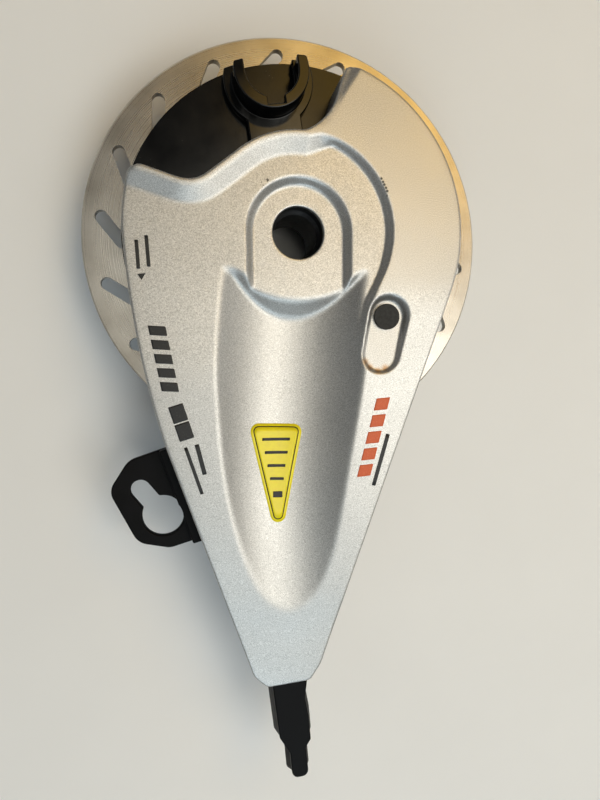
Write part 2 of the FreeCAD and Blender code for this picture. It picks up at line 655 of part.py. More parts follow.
rings = []
for index, middle in enumerate(("shoe_base + groove_inset + groove_width / 2",
                                SHOE_TOP + " - groove_inset - groove_width / 2")):
    rings.append(revolved_body("shoe_ring_%d" % (index + 1), (
        (GROOVE + " + shoe_spring_gap", middle + " - shoe_wire"),
        (GROOVE + " + shoe_spring_gap + 2 * shoe_wire", middle + " - shoe_wire"),
        (GROOVE + " + shoe_spring_gap + 2 * shoe_wire", middle + " + shoe_wire"),
        (GROOVE + " + shoe_spring_gap", middle + " + shoe_wire"),
    ), "shoe_spring_angle"))
shoe_springs = doc.addObject("Part::Compound", "shoe_springs")
shoe_springs.Links = rings
publish(shoe_springs, "shoe_springs")

# ---- anchor plate, spacer rivets, dust plate and seal ------------------------------

ANCHOR_TOP = "anchor_base + anchor_thickness"
anchor = revolved_body("anchor_plate", (
    ("anchor_bore", "anchor_base"),
    ("drum_bore - anchor_gap", "anchor_base"),
    ("drum_bore - anchor_gap", ANCHOR_TOP),
    ("anchor_bore", ANCHOR_TOP),
))
lug_sketch = new_sketch(anchor, "lug_sketch", "XY_Plane", "shoe_base")
add_polygon(lug_sketch, (
    ("lug_outer - lug_depth", "-lug_width / 2"),
    ("lug_outer", "-lug_width / 2"),
    ("lug_outer", "lug_width / 2"),
    ("lug_outer - lug_depth", "lug_width / 2"),
))
lug = anchor.newObject("PartDesign::Pad", "lug")
lug.Profile = lug_sketch
lug.setExpression("Length", bound("anchor_base - shoe_base"))
anchor.Tip = lug
doc.recompute()
polar_pattern(anchor, lug, "shoe_count")


def spacer_holes(body):
    """Holes for the spacer rivets, the middle one straight down the arm."""
    name = body.Name
    sketch = new_sketch(body, name + "_spacer_sketch", "XY_Plane", "anchor_base")
    index = sketch.addGeometry(Part.Circle(polar(24, -150), UP, 1.8), False)
    start = "(-90 - spacer_pitch * (spacer_count - 1) / 2) * 1 deg"
    dimension(sketch, "DistanceX", (-1, 1, index, 3), "spacer_circle * cos(%s)" % start, "across")
    dimension(sketch, "DistanceY", (-1, 1, index, 3), "spacer_circle * sin(%s)" % start, "along")
    dimension(sketch, "Radius", (index,), "spacer_shank", "shank")
    cut = pocket(body, sketch, name + "_spacer_hole")
    polar_pattern(body, cut, "spacer_count", "spacer_pitch * (spacer_count - 1)")


spacer_holes(anchor)
publish(anchor, "anchor_plate")

DUST_TOP = ANCHOR_TOP + " + dust_thickness"
rivet_group("spacer_rivets", "spacer_count", "spacer_pitch",
            "-90 - spacer_pitch * (spacer_count - 1) / 2", "spacer_circle", (
                ("spacer_head", "anchor_base - spacer_end_height", "anchor_base"),
                ("spacer_shank", "anchor_base", "arm_base + arm_thickness"),
                ("spacer_radius", DUST_TOP, "arm_base"),
                ("spacer_head", "arm_base + arm_thickness",
                 "arm_base + arm_thickness + spacer_end_height"),
            ))

# The dust plate is a dished ring. Its rim is turned about a slightly shifted axis.
dust_low = evaluate(ANCHOR_TOP)
dust_wall = size("dust_thickness")
dust_high = dust_low + size("dust_rise")
rim_foot = evaluate("drum_seat + disc_thickness + dust_gap")
shift = Vector(size("dust_shift"), size("dust_shift"), 0)
slope_run = size("dust_rise")


def dust_form(drop):
    """The space under the dust plate's outside, or its inside one wall lower."""
    low = dust_low + dust_wall - drop
    high = dust_high + dust_wall - drop
    disc_part = cylinder(size("dust_radius") - drop, rim_foot, high, shift)
    dish = Part.makeCone(size("dust_step") + drop, size("dust_step") + drop + high - low,
                         high - low, Vector(0, -size("dish_drop"), low))
    return disc_part.cut(dish)


dust_plate = dust_form(0).cut(dust_form(dust_wall))
dust_plate = dust_plate.fuse(cylinder(size("dust_step") + dust_wall, dust_low,
                                      dust_low + dust_wall, Vector(0, -size("dish_drop"), 0)))
dust_plate = dust_plate.cut(cylinder(size("dust_bore"), 0, dust_high + dust_wall))
start = -90 - size("spacer_pitch") * (size("spacer_count") - 1) / 2
for index in range(int(size("spacer_count"))):
    spot = polar(size("spacer_circle"), start + index * size("spacer_pitch"))
    dust_plate = dust_plate.cut(cylinder(size("spacer_shank"), 0, dust_high + 5, spot))
feature("dust_plate", dust_plate.removeSplitter())

seal_low = evaluate("drum_seat + spigot_rise + seal_gap")
feature("dust_seal", cylinder(size("seal_outer"), seal_low, dust_high)
        .cut(cylinder(size("seal_inner"), 0, dust_high + 1)))

# ---- cable link with its hook, and its return spring -------------------------------

beyond = 2 * size("disc_radius")
link_low = size("neck_top")
link_high = link_low + size("link_thickness")
link_ring = cylinder(size("link_ring"), link_low, link_high)
hook_far = size("hook_centre")
hook_spot = Vector(hook_far, 0, 0)
hook_top = size("hook_top")
half_arm = size("link_arm") / 2
link_plate = link_ring.fuse(Part.makeBox(hook_far, 2 * half_arm, size("link_thickness"),
                                         Vector(0, -half_arm, link_low)))
link_plate = link_plate.fuse(cylinder(size("hook_radius"), link_low, link_high, hook_spot))
upper_low = hook_top - size("hook_plate")
crown = size("hook_crown")
hook_upper = cylinder(crown, upper_low, hook_top, hook_spot)
wall_ring = cylinder(crown, link_high, upper_low, hook_spot)
wall_ring = wall_ring.cut(cylinder(crown - size("hook_wall"), 0, beyond, hook_spot))
mouth = size("hook_mouth")
cradle = cylinder(mouth, 0, beyond, hook_spot)
cradle = cradle.fuse(Part.makeBox(3 * mouth, 2 * mouth, beyond, Vector(hook_far, -mouth, 0)))
nick = Part.makeBox(mouth + size("nick_depth"), size("nick_width"), beyond,
                    Vector(hook_far - mouth - size("nick_depth"),
                           -size("nick_width") / 2, 0))
beyond_tip = cylinder(beyond, 0, beyond).cut(cylinder(size("hook_tip"), 0, beyond))
beyond_toe = cylinder(beyond, 0, beyond).cut(cylinder(size("hook_toe"), 0, beyond))
hook = hook_upper.fuse(wall_ring).cut(beyond_tip).fuse(link_plate.cut(beyond_toe))
hook = hook.cut(cradle).cut(nick)
hook = hook.cut(cylinder(size("neck_spigot"), 0, beyond)).removeSplitter()
link = feature("cable_link", hook)
link.setExpression("Placement.Rotation.Angle", bound("link_angle * 1 deg"))

coil_radius = size("neck_radius") + 2 * size("spring_wire")
coil_low = unit_top + size("spring_wire") + 0.3
helix = Part.makeHelix(size("spring_pitch"), size("spring_pitch") * size("spring_turns"),
                       coil_radius)
wire_half = size("spring_wire")
section = Part.makePolygon([
    Vector(coil_radius - wire_half, 0, -wire_half), Vector(coil_radius + wire_half, 0, -wire_half),
    Vector(coil_radius + wire_half, 0, wire_half), Vector(coil_radius - wire_half, 0, wire_half),
    Vector(coil_radius - wire_half, 0, -wire_half)])
coil = Part.Wire(helix.Edges).makePipeShell([section], True, True)
coil.translate(Vector(0, 0, coil_low))
feature("link_spring", coil)

# ---- reaction arm: a flat eye, a tapering body and a folded channel tip -------------

arm_low = size("arm_base")
arm_high = arm_low + size("arm_thickness")
lean = math.radians(size("tip_lean"))
neck_y = -size("arm_neck_reach")
neck_half = size("arm_neck_width") / 2
shoulder = size("arm_shoulder")
eye = size("arm_eye")
side = size("trough_side")
axis_at_neck = side


def along_tip(reach, offset):
    """A point of the tip at a distance from the axle, beside the tip's own middle."""
    run = reach - size("arm_neck_reach")
    x = axis_at_neck + run * math.tan(lean) + offset * math.cos(lean)
    return (x, -reach + offset * math.sin(lean))


tip_left = size("tip_shift") - size("tip_width") / 2
tip_right = size("tip_shift") + size("tip_width") / 2
waist = tip_right - size("waist_depth")
nose_half = size("nose_width") / 2
tip_reach = size("tip_reach")
nose_reach = tip_reach + size("nose_length")
flange_y = -size("flange_start")
flank_y = -size("flank_down")
upper_left = Vector(1.5 - shoulder, flank_y, 0)
upper_right = Vector(shoulder - 3.0, flank_y + 5.0, 0)
shoulder_y = -size("shoulder_down")
neck_left = Vector(axis_at_neck - neck_half, neck_y, 0)
neck_right = Vector(axis_at_neck + neck_half, neck_y, 0)


def tip_corners(grow):
    """The tip's outline from its left neck to its right neck, grown sideways."""
    return [
        (neck_left.x - grow, neck_y, 30.0),
        along_tip(tip_reach - 1.8, tip_left - grow) + (2.0,),
        along_tip(tip_reach + 2.8, -nose_half - grow) + (2.0,),
        along_tip(nose_reach + grow, -nose_half - grow) + (1.6,),
        along_tip(nose_reach + grow, nose_half + grow) + (1.6,),
        along_tip(tip_reach + 1.9, nose_half + grow) + (1.0,),
        along_tip(tip_reach, tip_right + grow) + (1.0,),
        along_tip(tip_reach - 6.0, tip_right + grow) + (4.0,),
        along_tip(tip_reach - 11.2, waist + grow) + (4.0,),
        (neck_right.x + grow, neck_y, 8.0),
    ]


def on_line(start_point, end_point, y):
    """The x where the line between two points passes a y."""
    share = (y - start_point.y) / (end_point.y - start_point.y)
    return start_point.x + share * (end_point.x - start_point.x)


def arm_plan(grow):
    """The whole arm's outline, or the same outline grown all round."""
    side_x = shoulder + grow
    neck_x = eye + grow
    eye_y = grow - 6.0
    return rounded_outline(
        [(-side_x, shoulder_y + grow, 6.0), (upper_left.x - grow, flank_y, 30.0)]
        + tip_corners(grow)
        + [(upper_right.x + grow, upper_right.y, 30.0), (side_x, shoulder_y + grow, 6.0),
           (neck_x, eye_y, 4.0), (0.0, eye_y, 0.0), (-neck_x, eye_y, 4.0)])


arm = slab(arm_plan(0.0), arm_low, arm_high).fuse(cylinder(eye, arm_low, arm_high))
fold_low = arm_high - size("tip_depth")
splay = size("tip_splay")


def folded_wires(corners_at, wall):
    """Two outlines of the channel, at its top and at its foot, for a loft."""
    wires = []
    for level in (arm_low, fold_low):
        grow = splay * (arm_low - level) / (arm_low - fold_low)
        left_x = on_line(upper_left, neck_left, flange_y) - grow + wall
        right_x = on_line(upper_right, neck_right, flange_y) + grow - wall
        wire = rounded_outline([(left_x, flange_y, 0.0)] + corners_at(grow)
                               + [(right_x, flange_y, 0.0)])
        wire.translate(Vector(0, 0, level))
        wires.append(wire)
    return wires


def hollow_corners(grow):
    """The inside of the wide tip; the nose stays solid."""
    inside = grow - size("arm_thickness")
    return [
        (neck_left.x - inside, neck_y, 0.0),
        along_tip(tip_reach - 1.8, tip_left - inside) + (0.0,),
        along_tip(tip_reach - 0.5, tip_right + inside) + (0.0,),
        along_tip(tip_reach - 6.0, tip_right + inside) + (0.0,),
        along_tip(tip_reach - 11.2, waist + inside) + (0.0,),
        (neck_right.x + inside, neck_y, 0.0),
    ]


folds = Part.makeLoft(folded_wires(tip_corners, 0.0), True, True)
folds = folds.cut(Part.makeLoft(folded_wires(hollow_corners, size("arm_thickness")),
                                True, True))
arm = arm.fuse(folds)
arm = arm.cut(cylinder(size("bush_neck"), 0, beyond))
for index in range(int(size("spacer_count"))):
    spot = polar(size("spacer_circle"), start + index * size("spacer_pitch"))
    arm = arm.cut(cylinder(size("spacer_shank"), 0, beyond, spot))
key_spot = Vector(-size("keyhole_side"), -size("keyhole_down"), 0)
holder_rivet_spots = (key_spot + Vector(12.0, 15.0, 0), key_spot + Vector(15.0, 5.0, 0))
for spot in holder_rivet_spots:
    arm = arm.cut(cylinder(size("rivet_shank") + 0.4, 0, beyond, spot))
feature("reaction_arm", arm.removeSplitter())

# ---- casing holder: a Z-bent plate with a keyhole, riveted under the arm -----------

holder_high = arm_low
plate = size("holder_thickness")
tab_high = holder_high - size("holder_drop")
holder_plan = slab(rounded_outline((
    (1.2, 16.8, 1.5), (-8.0, 13.8, 5.0), (-12.7, 6.5, 4.0), (-6.2, -6.6, 4.5),
    (1.5, -8.3, 4.0), (10.5, -5.8, 1.5), (19.5, -2.0, 3.0), (16.5, 21.0, 3.0))), 0, 40)
holder_plan.translate(key_spot)
fold_turn = 18.6
flange_part = Part.makeBox(60, 120, plate, Vector(0, -60, holder_high - plate))
web_part = Part.makeBox(plate, 120, size("holder_drop") + plate,
                        Vector(-plate, -60, tab_high - plate))
tab_part = Part.makeBox(60, 120, plate, Vector(-60, -60, tab_high - plate))
bent = flange_part.fuse(web_part).fuse(tab_part)
bent.rotate(Vector(), UP, fold_turn)
bent.translate(key_spot + Vector(5.2, 5.5, 0))
holder = bent.common(holder_plan)
key_turn = 128.0
key_end = key_spot + polar(size("keyhole_length"), key_turn)
slot_half = size("keyhole_slot") / 2
key_slot = Part.makeBox(size("keyhole_length"), 2 * slot_half, beyond, Vector(0, -slot_half, 0))
key_slot.rotate(Vector(), UP, key_turn)
key_slot.translate(key_spot)
holder = holder.cut(cylinder(size("keyhole_radius"), 0, beyond, key_spot))
holder = holder.cut(key_slot).cut(cylinder(slot_half, 0, beyond, key_end))
holder_rivets = []
for spot in holder_rivet_spots:
    shank = size("rivet_shank") + 0.4
    holder = holder.cut(cylinder(shank, 0, beyond, spot))
    rivet = cylinder(shank, holder_high - plate, arm_high, spot)
    rivet = rivet.fuse(cylinder(shank + 1.2, holder_high - plate - 0.8,
                                holder_high - plate, spot))
    rivet = rivet.fuse(cylinder(shank + 1.2, arm_high, arm_high + 0.2, spot))
    holder_rivets.append(rivet)
feature("casing_holder", holder.removeSplitter())
feature("holder_rivets", Part.makeCompound(holder_rivets))

# ---- cover: a formed shell, made twice, once a wall thickness inside ----------------

reach = size("cover_reach")
left = size("cover_left")
right = size("cover_right")
cutout = size("cutout_radius")
bend = size("cutout_angle")
field_top = size("field_top")
wing_top = size("wing_top")
end_top = size("end_top")
break_y = -32.0
blend_y = -89.0


def meeting(angle_a, distance_a, angle_b, distance_b):
    """Where two lines meet, each given by its normal's angle and its distance."""
    ax, ay = math.cos(math.radians(angle_a)), math.sin(math.radians(angle_a))
    bx, by = math.cos(math.radians(angle_b)), math.sin(math.radians(angle_b))
    scale = ax * by - ay * bx
    return Vector((distance_a * by - distance_b * ay) / scale,
                  (ax * distance_b - bx * distance_a) / scale, 0)


def bay_edges(offset, first_angle, far_x):
    """The opening's edge moved in by an offset: arc, tangent, bend and straight bay."""
    radius = cutout - offset
    slope_angle = 90 - size("bay_slope")
    line_offset = size("bay_offset") - offset
    corner = meeting(bend, radius, slope_angle, line_offset)
    far = Vector(far_x, (line_offset - far_x * math.cos(math.radians(slope_angle)))
                 / math.sin(math.radians(slope_angle)), 0)
    leave = polar(radius, bend)
    back = (leave - corner).normalize()
    ahead = (far - corner).normalize()
    half = back.getAngle(ahead) / 2
    bow = size("bay_bend") + offset
    run = bow / math.tan(half)
    crown = corner + (back + ahead).normalize() * (bow / math.sin(half) - bow)
    edges = [
        Part.Arc(polar(radius, first_angle), polar(radius, (first_angle + bend) / 2),
                 leave).toShape(),
        Part.LineSegment(leave, corner + back * run).toShape(),
        Part.Arc(corner + back * run, crown, corner + ahead * run).toShape(),
        Part.LineSegment(corner + ahead * run, far).toShape(),
    ]
    return edges, far


def cover_plan():
    """The cover's outline: two sides about the axle, two long edges, a cut-out."""
    path = [polar(right, -20), Vector(5.6, 5.2 - reach, 0), Vector(2.8, 0.8 - reach, 0),
            Vector(-8.0, -reach, 0), Vector(-11.3, 3.1 - reach, 0),
            Vector(-30.6, -49.5, 0)]
    edges = [Part.Arc(polar(right, 70), polar(right, 25), polar(right, -20)).toShape()]
    for begin, finish in zip(path, path[1:]):
        edges.append(Part.LineSegment(begin, finish).toShape())
    edges.append(Part.Arc(path[-1], Vector(-36.4, -24.0, 0), polar(left, 180)).toShape())
    bay, corner = bay_edges(0, 87, -34.9)
    shoulder_low = polar(left, 162.5)
    edges.append(Part.Arc(polar(left, 180), polar(left, 171), shoulder_low).toShape())
    edges.append(Part.LineSegment(shoulder_low, corner).toShape())
    edges.extend(bay)
    horn = Vector(8.9, 31.1, 0)
    edges.append(Part.Arc(polar(cutout, 87), Vector(5.8, 25.0, 0), horn).toShape())
    peak = Vector(10.8, 36.4, 0)
    edges.append(Part.LineSegment(horn, peak).toShape())
    edges.append(Part.LineSegment(peak, polar(right, 70)).toShape())
    return Part.Wire(Part.__sortEdges__(edges))


def field_wire(offset, wing_offset, height):
    """The low field's outline at a height, its sides moved in by the offsets."""
    bay, far = bay_edges(offset, 84, -60)
    wing_radius = size("wing_radius") - wing_offset
    top = polar(wing_radius, 76)
    foot = polar(wing_radius, -32)
    path = [far, Vector(-60, -130, 0), Vector(-1.0, -130, 0), Vector(-1.0, -80, 0),
            Vector(13.0, -16, 0), foot]
    edges = [Part.Arc(foot, polar(wing_radius, 22), top).toShape(),
             Part.LineSegment(top, polar(cutout - offset, 84)).toShape()] + bay
    for begin, finish in zip(path, path[1:]):
        edges.append(Part.LineSegment(begin, finish).toShape())
    wire = Part.Wire(edges)
    wire.translate(Vector(0, 0, height))
    return wire


def side_profile(points, low_x, high_x):
    """A solid drawn in the Y-Z plane and run across from one x to another."""
    wire = Part.makePolygon([Vector(low_x, y, z) for y, z in points + points[:1]])
    return Part.Face(wire).extrude(Vector(high_x - low_x, 0, 0))


def above_plane(first, second, third):
    """A wedge of space over the plane through three points, about the horn."""
    normal = (second - first).cross(third - first)
    if normal.z < 0:
        normal = normal * -1
    block = Part.makeBox(60, 60, 20, Vector(-30, -30, 0))
    block.Placement = FreeCAD.Placement(first, FreeCAD.Rotation(UP, normal)).multiply(
        block.Placement)
    return block


def head_circle(height, inset):
    """The trough's head wall at a height: a circle that moves as it rises."""
    foot = size("trough_head")
    share = (height - size("trough_floor")) / (size("nut_face") - size("trough_floor"))
    centre = 10.0 * share
    radius = foot + (10.0 + size("nut_edge") - foot) * share - inset
    return Part.Wire(Part.makeCircle(radius, Vector(0, centre, height), UP))


def trough_cut(inset):
    """The long hollow: a cone lying along the arm, stopped by the head wall."""
    tilt = size("trough_tilt")
    flare = size("trough_flare")
    long_run = 140.0
    start_y = -5.0
    first = size("trough_radius") + inset / math.cos(math.radians(flare))
    last = first + long_run * math.tan(math.radians(flare))
    cone = Part.makeCone(first, last, long_run, Vector(), Vector(0, -1, 0))
    cone.rotate(Vector(), Vector(1, 0, 0), -(tilt + flare))
    floor_here = size("trough_floor") - inset - (size("trough_head") + start_y) * math.tan(
        math.radians(tilt))
    lift = floor_here + first * math.cos(math.radians(tilt + flare))
    cone.translate(Vector(size("trough_side"), start_y, lift))
    low = size("trough_floor") - 4
    high = wing_top + 6
    head = Part.makeLoft([head_circle(low, inset), head_circle(high, inset)], True, True)
    return cone.cut(head)


def nut_cut(inset):
    """The recess for the axle nut: half a cone and two legs open to the trough."""
    floor = size("nut_face") - inset
    inner = size("nut_recess") + inset
    spread = size("nut_slope") / (field_top - size("nut_face"))
    tall = wing_top + 3 - floor
    outer = inner + spread * tall
    cone = Part.makeCone(inner, outer, tall, Vector(0, 0, floor))
    section = Part.makePolygon([
        Vector(-inner, 0, floor), Vector(inner, 0, floor), Vector(outer, 0, floor + tall),
        Vector(-outer, 0, floor + tall), Vector(-inner, 0, floor)])
    return cone.fuse(Part.Face(section).extrude(Vector(0, -18, 0)))


def cover_form(inset):
    """The cover's outside, or its inside when inset is the sheet's thickness."""
    plan = Part.Face(cover_plan())
    foot = size("cover_foot")
    if inset:
        plan = plan.makeOffset2D(-inset)
        foot -= 1
    plan.translate(Vector(0, 0, foot))
    block = plan.extrude(Vector(0, 0, 40 - foot))
    field = field_top - inset
    wing = wing_top - inset
    end = end_top - inset
    blend_z = field + (end - field) * (blend_y - break_y) / (-reach - break_y)
    form = block.common(side_profile([
        (60, wing), (-15, wing), (blend_y, blend_z), (-reach, end), (-130, end),
        (-130, 0), (60, 0)], -60, 60))
    rim = size("rim_width")
    slope = size("rim_slope")
    lip = size("wing_slope")
    wires = []
    for share in (0.0, 2.0):
        wires.append(field_wire(rim + slope * (1 - share) - inset,
                                lip * (1 - share) - inset, field + (wing - field) * share))
    form = form.cut(Part.makeLoft(wires, True, True))
    low_side = side_profile([
        (break_y, field), (blend_y, blend_z), (-130, end), (-130, 60), (break_y, 60)],
        -60, 60)
    left_part = slab(Part.makePolygon([
        Vector(-60, break_y, 0), Vector(9.5, break_y, 0), Vector(-1.0, blend_y + 9, 0),
        Vector(-1.0, blend_y, 0), Vector(-60, blend_y, 0), Vector(-60, break_y, 0)]), 0, 60)
    form = form.cut(low_side.common(left_part))
    root = Vector(5.25, 22.7, wing)
    strip = above_plane(root, Vector(13.7, 35.3, wing), Vector(11.9, 36.1, wing - 1.1))
    ledge = above_plane(root, Vector(11.9, 36.1, wing - 1.1), Vector(9.9, 36.8, wing - 1.1))
    horn_cut = strip.common(ledge).common(Part.makeBox(30, 40, 40, Vector(-10, 22.8, 0)))
    form = form.cut(horn_cut)
    form = form.cut(nut_cut(inset)).cut(trough_cut(inset))
    pill_r = size("pill_radius") + inset
    pill_low = size("pill_floor") - inset
    top_spot = Vector(size("plug_side"), -size("plug_down"), 0)
    low_spot = top_spot + Vector(-1.7, -8.8, 0)
    across = Vector(8.8, -1.7, 0).normalize() * pill_r
    bar = slab(Part.makePolygon([top_spot + across, top_spot - across, low_spot - across,
                                 low_spot + across, top_spot + across]), pill_low, 60)
    form = form.cut(cylinder(pill_r, pill_low, 60, top_spot))
    form = form.cut(cylinder(pill_r, pill_low, 60, low_spot)).cut(bar)
    return form


shell = cover_form(0).cut(cover_form(size("cover_thickness")))
shell = shell.cut(cylinder(size("nut_hole"), 0, beyond))
plug_spot = Vector(size("plug_side"), -size("plug_down"), 0)
shell = shell.cut(cylinder(size("plug_stem") + size("plug_fit"), 0, beyond, plug_spot))
arm_gap = size("arm_gap")
arm_way = slab(arm_plan(arm_gap), 0, arm_high + 0.05)
fold_way = slab(arm_plan(arm_gap + splay), 0, arm_low + 0.05)
shell = shell.cut(arm_way).cut(fold_way)
link_sector = Part.makeCylinder(60, size("link_way"), Vector(), UP, 68)
link_sector.rotate(Vector(), UP, 80)
shell = shell.cut(link_sector.cut(cylinder(16, 0, beyond)))
notch = Part.makeBox(12, 27, size("arm_base") + 0.3, Vector(-6, -13.5, 0))
notch.rotate(Vector(), UP, fold_turn)
notch.translate(key_spot + Vector(6.2, 5.0, 0))
shell = shell.cut(notch)
feature("arm_cover", shell.removeSplitter())

# ---- grease plug --------------------------------------------------------------------

pill_floor = size("pill_floor")
under = pill_floor - size("cover_thickness")
plug = cylinder(size("plug_radius"), pill_floor, pill_floor + 1.0, plug_spot)
plug = plug.fuse(cylinder(size("plug_stem"), under - 2.0, pill_floor, plug_spot))
feature("grease_plug", plug)

# ---- checks and export ---------------------------------------------------------------

doc.recompute()
for item in doc.Objects:
    if "Invalid" in item.State or "Error" in item.State:
        raise RuntimeError("failed object: " + item.Name)
os.makedirs("parts", exist_ok=True)
for piece in subparts:
    shape = piece.Shape
    if shape.isNull() or not shape.isValid() or not shape.Solids:
        raise RuntimeError("bad shape: " + piece.Label)
    shape.exportStep("parts/%s.step" % piece.Label)
    print("%-16s solids %d volume %.1f" % (piece.Label, len(shape.Solids), shape.Volume))
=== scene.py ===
"""The looks of a front hub roller brake: slotted cooling disc, cable link and silver arm cover."""
import math

import bpy
import numpy as np
from mathutils import Matrix, Vector


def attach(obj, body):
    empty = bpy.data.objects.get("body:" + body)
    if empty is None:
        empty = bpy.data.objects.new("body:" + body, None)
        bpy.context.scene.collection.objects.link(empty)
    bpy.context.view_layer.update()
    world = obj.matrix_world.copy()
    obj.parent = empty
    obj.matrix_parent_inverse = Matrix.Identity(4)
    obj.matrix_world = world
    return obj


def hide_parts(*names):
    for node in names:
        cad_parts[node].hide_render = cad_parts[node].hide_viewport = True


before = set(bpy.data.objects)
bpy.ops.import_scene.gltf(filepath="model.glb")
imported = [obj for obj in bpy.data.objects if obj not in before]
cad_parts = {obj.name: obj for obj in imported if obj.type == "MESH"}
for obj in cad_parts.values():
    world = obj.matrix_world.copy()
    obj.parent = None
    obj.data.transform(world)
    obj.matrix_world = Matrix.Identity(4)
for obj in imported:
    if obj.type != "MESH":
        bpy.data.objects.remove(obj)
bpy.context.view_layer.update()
scene = bpy.context.scene
mm = 0.001

# ---- the table under the brake, the camera and the lamps ---------------------------
# The brake lies on its drum on a pale matt table, under soft lamps, of which one on the wing's
# side is warm and one past the arm's tip is cool. The far table and the room behind it look as
# pale as the lit table. Bright metal mirrors them faintly, and they light nothing.


def put(tree, kind, inputs=(), **settings):
    """Add a node to a tree: settings are its properties, inputs its sockets' values or links."""
    made = tree.nodes.new(kind)
    for key, value in settings.items():
        setattr(made, key, value)
    for key, value in dict(inputs).items():
        if isinstance(value, bpy.types.NodeSocket):
            tree.links.new(value, made.inputs[key])
        else:
            made.inputs[key].default_value = value
    return made


def maths(tree, operation, *values):
    """Work out one Math node on its values or links."""
    return put(tree, "ShaderNodeMath", dict(enumerate(values)), operation=operation).outputs[0]


def mix(tree, share, first, second):
    """Go from a first colour to a second one by a share from 0 to 1."""
    inputs = {0: share, 6: first, 7: second}
    return put(tree, "ShaderNodeMix", inputs, data_type="RGBA").outputs[2]


def spread(tree, value, low, high, low_at=0.3, high_at=0.7):
    """Map a value's range low_at..high_at to low..high, held at both ends."""
    return put(tree, "ShaderNodeMapRange", {
        "Value": value, "From Min": low_at, "From Max": high_at,
        "To Min": low, "To Max": high}).outputs["Result"]


def noise(tree, place, scale, detail=3.0, rough=0.55):
    """Plain cloud noise at a scale in cycles per metre."""
    return put(tree, "ShaderNodeTexNoise", {
        "Vector": place, "Scale": scale, "Detail": detail, "Roughness": rough}).outputs["Fac"]


def new_finish(name, metallic=0.0, roughness=0.5, colour=(0.8, 0.8, 0.8)):
    """A Principled material, its tree and shader, and the object's own coordinates.

    The roughness and the colour count where no pattern is linked to them afterwards.
    """
    finish = bpy.data.materials.new(name)
    finish.use_nodes = True
    tree = finish.node_tree
    shader = tree.nodes["Principled BSDF"]
    shader.inputs["Base Color"].default_value = (*colour, 1)
    shader.inputs["Metallic"].default_value = metallic
    shader.inputs["Roughness"].default_value = roughness
    place = put(tree, "ShaderNodeTexCoord").outputs["Object"]
    return finish, tree, shader, place


def seen(tree, direct, mirrored):
    """The share `direct` for rays from the eye, `mirrored` for rays off metal or through glass."""
    path = put(tree, "ShaderNodeLightPath").outputs
    bent = maths(tree, "MAXIMUM", path["Is Glossy Ray"], path["Is Transmission Ray"])
    bent = maths(tree, "MULTIPLY", bent, mirrored)
    return maths(tree, "MULTIPLY_ADD", path["Is Camera Ray"], direct, bent)


room_colour = (0.66, 0.65, 0.62, 1)
mirror_share = 0.3
table_reach = 3.0
table_top = -0.0002
table_finish, tree, shader, place = new_finish("table_laminate", roughness=0.7)
clouds = noise(tree, place, 25.0, 3.0, 0.5)
tree.links.new(mix(tree, clouds, (0.85, 0.85, 0.84, 1), (0.90, 0.90, 0.89, 1)),
               shader.inputs["Base Color"])
away = put(tree, "ShaderNodeVectorMath", {0: place}, operation="LENGTH").outputs["Value"]
far = spread(tree, away, 0.0, 1.0, low_at=0.3, high_at=1.1)
far_mirrored = maths(tree, "MULTIPLY", far, mirror_share)
shader.inputs["Emission Color"].default_value = room_colour
tree.links.new(seen(tree, far, far_mirrored), shader.inputs["Emission Strength"])
table_mesh = bpy.data.meshes.new("table")
table_mesh.from_pydata([(-table_reach, -table_reach, 0), (table_reach, -table_reach, 0),
                        (table_reach, table_reach, 0), (-table_reach, table_reach, 0)],
                       [], [(0, 1, 2, 3)])
table_mesh.materials.append(table_finish)
table = bpy.data.objects.new("table", table_mesh)
table.location.z = table_top
scene.collection.objects.link(table)

camera = bpy.data.objects.new("camera", bpy.data.cameras.new("camera"))
scene.collection.objects.link(camera)
scene.camera = camera
camera.data.sensor_width = 36.0
camera.data.lens = 26.055
camera.data.clip_start = 0.005
camera.data.clip_end = 10.0
eye_place = Vector((-23.88, -28.45, 164.91)) * mm
eye_back = Vector((-0.17638, 0.07416, 0.98152)).normalized()
eye_right = Vector((0.98409, -0.00840, 0.17747))
eye_right = (eye_right - eye_back * eye_right.dot(eye_back)).normalized()
eye_up = eye_back.cross(eye_right)
camera.matrix_world = Matrix.Translation(eye_place) @ Matrix(
    (eye_right, eye_up, eye_back)).transposed().to_4x4()

lamp_aim = Vector((0, -0.02, 0.02))


def hang_lamp(name, place, width, power, colour):
    """A square soft lamp at a place in metres, turned to shine at the middle of the cover."""
    lamp = bpy.data.objects.new(name, bpy.data.lights.new(name, "AREA"))
    lamp.data.shape = "SQUARE"
    lamp.data.size = width
    lamp.data.energy = power
    lamp.data.color = colour
    lamp.location = Vector(place)
    lamp.rotation_euler = (lamp_aim - Vector(place)).to_track_quat("-Z", "Y").to_euler()
    scene.collection.objects.link(lamp)


hang_lamp("lamp_over", (0.10, 0.05, 0.91), 0.50, 1.33, (1.0, 0.96, 0.85))
hang_lamp("lamp_warm", (0.32, 0.38, 0.77), 0.42, 1.30, (1.0, 0.60, 0.10))
hang_lamp("lamp_side", (0.35, -0.22, 0.82), 0.50, 2.85, (1.0, 0.98, 0.91))
hang_lamp("lamp_front", (-0.02, -0.68, 0.61), 0.45, 1.70, (0.76, 0.91, 1.0))
hang_lamp("lamp_low", (0.83, 0.00, 0.36), 0.50, 0.60, (1.0, 0.98, 0.92))
hang_lamp("lamp_left", (-0.64, -0.30, 0.57), 0.50, 0.20, (0.92, 0.97, 1.0))

